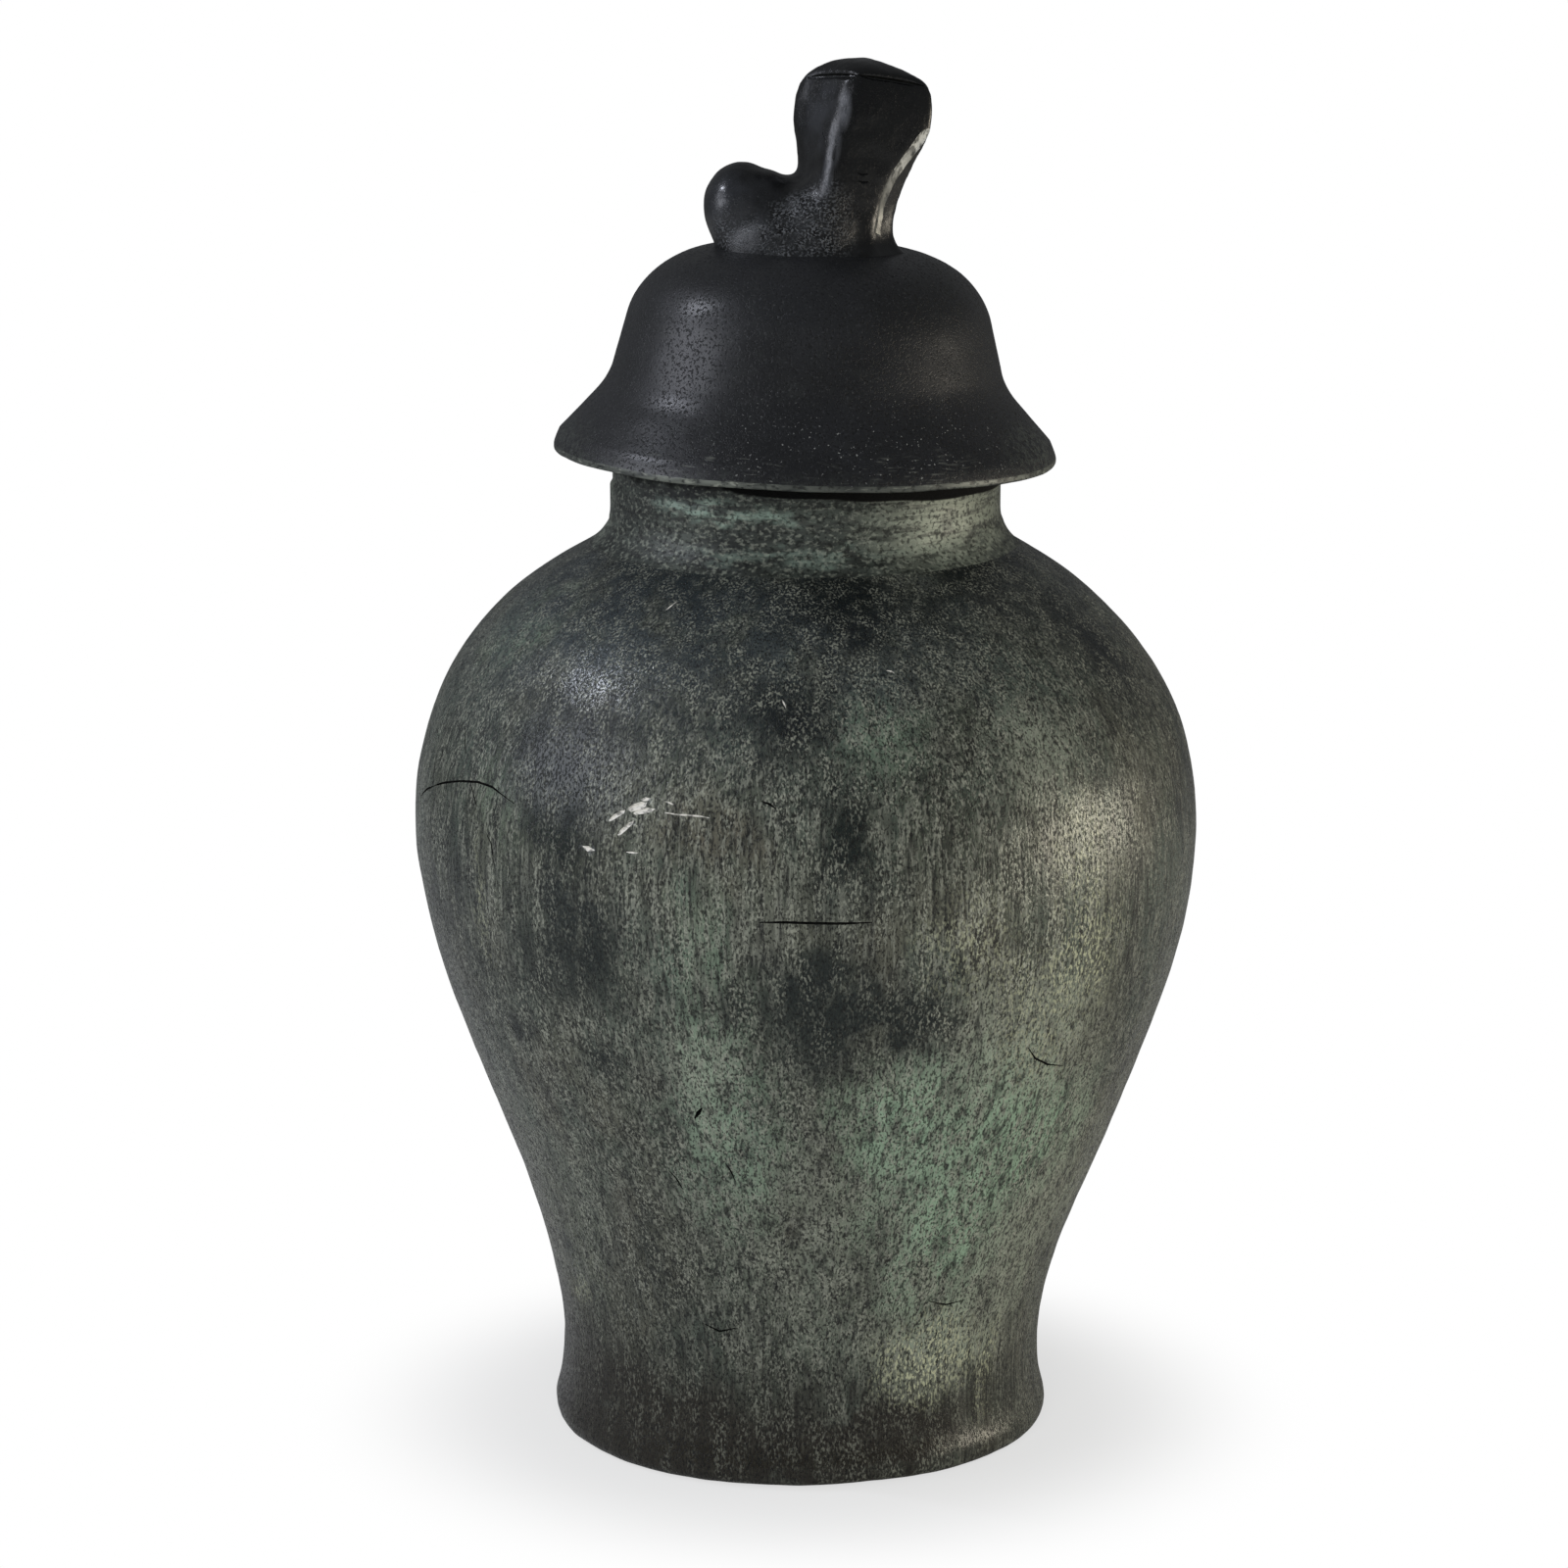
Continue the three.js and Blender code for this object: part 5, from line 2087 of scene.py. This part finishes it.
# Bronze under a black sulphide patina, waxed: dense charcoal with a soft sheen and a very fine tooth. It is
# scratched and chipped pale near the brim, and the brim's edge is worn to a grey-green band.
LID_PATINA = Finish(
    name="waxed_black_patina_on_bronze",
    slot=Slot.LID,
    ground="#18191b",
    roughness=0.37,
    metallic=0.0,
    specular=0.6,
    wander=4.0,
    lifted=MOUTH_HEIGHT,
    tilt=MOUTH_TILT,
    coats=(
        Coat("#222326", Grain((44, 36), 0.40, 0.62), 0.7),
        Coat("#262828", Grain((9, 7), 0.52, 0.70, 4, 5.1), 0.4),
        # Worn grey-green near the ends of the brim
        Coat(
            "#4a4f49", Grain((2.4, 2.4), 0.40, 0.62, 4, 2.3), 0.03,
            (
                Spot((100, -30, -2), (34, 46, 16), 0.55), Spot((-102, -26, -4), (26, 46, 12), 0.35),
                Spot((0, 0, -9), (150, 150, 7), 0.3), Spot((-10, -30, 86), (36, 16, 12), 0.35),
            ),
        ),
        Coat("#0a0b0c", Grain((1.2, 1.2), 0.52, 0.65, 2, 4.1), 0.75, (), 0.8, -0.1),
        Coat("#4b4d50", Grain((1.2, 1.2), 0.59, 0.72, 2, 8.3), 0.3, (), None, 0.1),
        # Chips and scratches
        Coat(
            "#a9aba8", Grain((1.3, 1.3), 0.70, 0.76, 1, 6.1), 0.08,
            (Spot((30, -84, 4), (100, 60, 26), 0.5), Spot((-10, -30, 84), (36, 18, 16), 0.3)),
        ),
        Coat(
            "#767972", Grain((9, 1.0), 0.58, 0.70, 3, 9.9), 0.0,
            (Spot((-35, -96, -3), (44, 30, 7), 0.3), Spot((40, -92, -3), (46, 34, 8), 0.35)),
        ),
    ),
)

# The same black patina on the figure, polished by hands: glossy on the block, rough and dusty on the apron,
# with painted light on the left of the head and lump and a painted highlight down the block's ridge.
FIGURE_PATINA = Finish(
    name="polished_black_patina_on_bronze",
    slot=Slot.LID,
    ground="#090a0b",
    roughness=0.25,
    metallic=0.0,
    specular=0.6,
    wander=3.0,
    lifted=MOUTH_HEIGHT,
    tilt=MOUTH_TILT,
    coats=(
        Coat("#0f1011", Grain((26, 22), 0.40, 0.62), 0.7, (), 0.31),
        # Dust and tooth of the apron, finer on the real one than can be drawn at this distance
        Coat(
            "#676a6e", Grain((1.1, 0.9), 0.47, 0.62, 2, 7.3), 0.0,
            (
                Spot((-2, -28, 95), (24, 18, 22), 0.6), Spot((-18, -30, 83), (42, 18, 13), 0.6),
                Spot((-38, -20, 86), (16, 20, 14), 0.4),
            ),
            0.6, 0.14,
        ),
        Coat(
            "#26282a", Grain((6, 5), 0.30, 0.60, 4, 5.2), 0.0,
            (Spot((-14, -28, 86), (44, 20, 20), 0.6),),
            0.55,
        ),
        Coat("#060707", Grain((1.2, 1.2), 0.54, 0.68, 3, 4.1), 0.6, (), 0.45, -0.05),
        # Painted light on the left of the head and of the lump, grey as if lit from the left
        Coat(
            "#2e3034", Grain((12, 14), 0.20, 0.56, 4, 2.6), 0.0,
            (Spot((-2, -10, 140), (15, 18, 26), 0.7), Spot((-34, -14, 100), (22, 20, 17), 0.6)),
        ),
        # Painted highlight down the ridge of the block, brightest near its top
        Coat(
            "#6a6d73", Grain((3, 12), 0.22, 0.54, 3, 8.4), 0.0,
            (
                Spot((5.4, -27, 114), (3.4, 9, 14), 0.24, False),
                Spot((8.4, -26, 128), (3.6, 9, 14), 0.28, False),
                Spot((12.0, -24.5, 142), (3.8, 9, 12), 0.5, False),
            ),
        ),
        Coat(
            "#8d8f8d", Grain((1.1, 1.1), 0.68, 0.75, 1, 6.1), 0.03,
            (Spot((-8, -29, 92), (34, 18, 20), 0.3),),
        ),
    ),
)

# The bevel that hands have worn through, painted pale as a highlight: smooth grey metal, nearly white at
# its upper end, with black left in patches.
RUBBED_AND_PAINTED_HIGHLIGHT = Finish(
    name="rubbed_bevel_with_painted_highlight",
    slot=Slot.LID,
    ground="#5d5e59",
    roughness=0.26,
    metallic=0.2,
    wander=2.0,
    lifted=MOUTH_HEIGHT,
    tilt=MOUTH_TILT,
    coats=(
        Coat(
            "#d9d9d2", Grain((2.4, 7.0), 0.36, 0.60, 3, 2.9), 0.15,
            (Spot((46, -14, 128), (8, 14, 8), 1.2), Spot((38, -17, 116), (8, 14, 18), 0.5)),
        ),
        Coat("#1b1c1c", Grain((3.4, 6.0), 0.50, 0.62, 4, 6.8), 0.75),
    ),
)

# The brim's edge, where handling has taken the black off: grey-green, dull, with dark dents.
WORN_BAND = Finish(
    name="worn_edge_of_black_patina",
    slot=Slot.LID,
    ground="#2a2d2c",
    roughness=0.42,
    metallic=0.1,
    lifted=MOUTH_HEIGHT,
    tilt=MOUTH_TILT,
    coats=(
        Coat(
            "#7c8178", Grain((16, 4), 0.28, 0.58), 0.35,
            (Spot((86, -60, -9), (70, 50, 20), 0.4), Spot((-50, -98, -9), (50, 30, 20), 0.3)),
        ),
        Coat("#9da195", Grain((5, 1.6), 0.56, 0.70, 4, 3.3), 0.6),
        Coat("#1d1f1e", Grain((3.2, 2.0), 0.50, 0.66, 4, 6.2), 0.8, (), None, -0.12),
    ),
)

# Scrapes through the patina to the pale filler under it: chalky, with patina left in the hollows.
CHIPPED = Finish(
    name="scraped_patina",
    slot=Slot.BODY,
    ground="#e9e6dd",
    roughness=0.5,
    metallic=0.0,
    coats=(Coat("#63645e", Grain((2.4, 1.4), 0.50, 0.62, 3, 2.4), 0.7),),
)

# Old dirt and wax in cuts and cracks, which also paints in the shade inside them: black and dead matt.
GRIME_AND_PAINTED_SHADE = Finish(
    name="grime_and_painted_shade_in_cuts",
    slot=Slot.BODY,
    ground="#0c0d0c",
    roughness=0.95,
    metallic=0.0,
    specular=0.1,
    coats=(Coat("#1a1b19", Grain((3, 3), 0.45, 0.65), 0.7),),
)

# Bronze as it was turned and left bare inside: warm, dull, with fine lathe lines.
BARE_BRONZE = Finish(
    name="turned_bare_bronze",
    slot=Slot.BARE,
    ground="#8a7347",
    roughness=0.42,
    metallic=1.0,
    coats=(
        Coat("#5d4c30", Grain((26, 20), 0.42, 0.66), 0.7, (), 0.55),
        Coat("#3f3626", Grain((5, 4), 0.56, 0.72, 4, 3.0), 0.5, (), 0.62),
        Coat("#a58c58", Grain((30, 0.7), 0.50, 0.66, 2, 5.0), 0.4, (), None, 0.02),
    ),
)

# Pressed cork granules: soft brown grains two to three millimetres wide with dark specks between.
CORK = Finish(
    name="pressed_granule_cork",
    slot=Slot.CORK,
    ground="#8c6a45",
    roughness=0.9,
    metallic=0.0,
    specular=0.3,
    coats=(
        Coat("#a9855a", Grain((2.6, 2.6), 0.44, 0.58, 2), 0.9, (), None, 0.10),
        Coat("#6d4f31", Grain((2.2, 2.2), 0.54, 0.64, 2, 3.3), 0.8, (), None, -0.12),
        Coat("#3d2a1a", Grain((1.4, 1.4), 0.64, 0.72, 1, 7.1), 0.8, (), None, -0.15),
    ),
)


def main() -> None:
    """Builds the urn and the studio round it."""
    logging.basicConfig(level=logging.INFO, format="%(name)s: %(message)s")
    shape = JarShape()
    Jar(shape, MOUTH_TILT).build(BODY_PATINA, NECK_PATINA, BARE_BRONZE, GRIME_AND_PAINTED_SHADE, CHIPPED)
    FootFittings(shape).build(CORK, BARE_BRONZE)
    lid = Lid(LidShape(), shape.mouth_height, MOUTH_TILT)
    lid.build(LID_PATINA, WORN_BAND, BARE_BRONZE)
    Figure(lid).build(FIGURE_PATINA, BARE_BRONZE, GRIME_AND_PAINTED_SHADE, RUBBED_AND_PAINTED_HIGHLIGHT)
    SeatRing(lid).build(CORK)
    Studio().build()


if __name__ == "__main__":
    main()
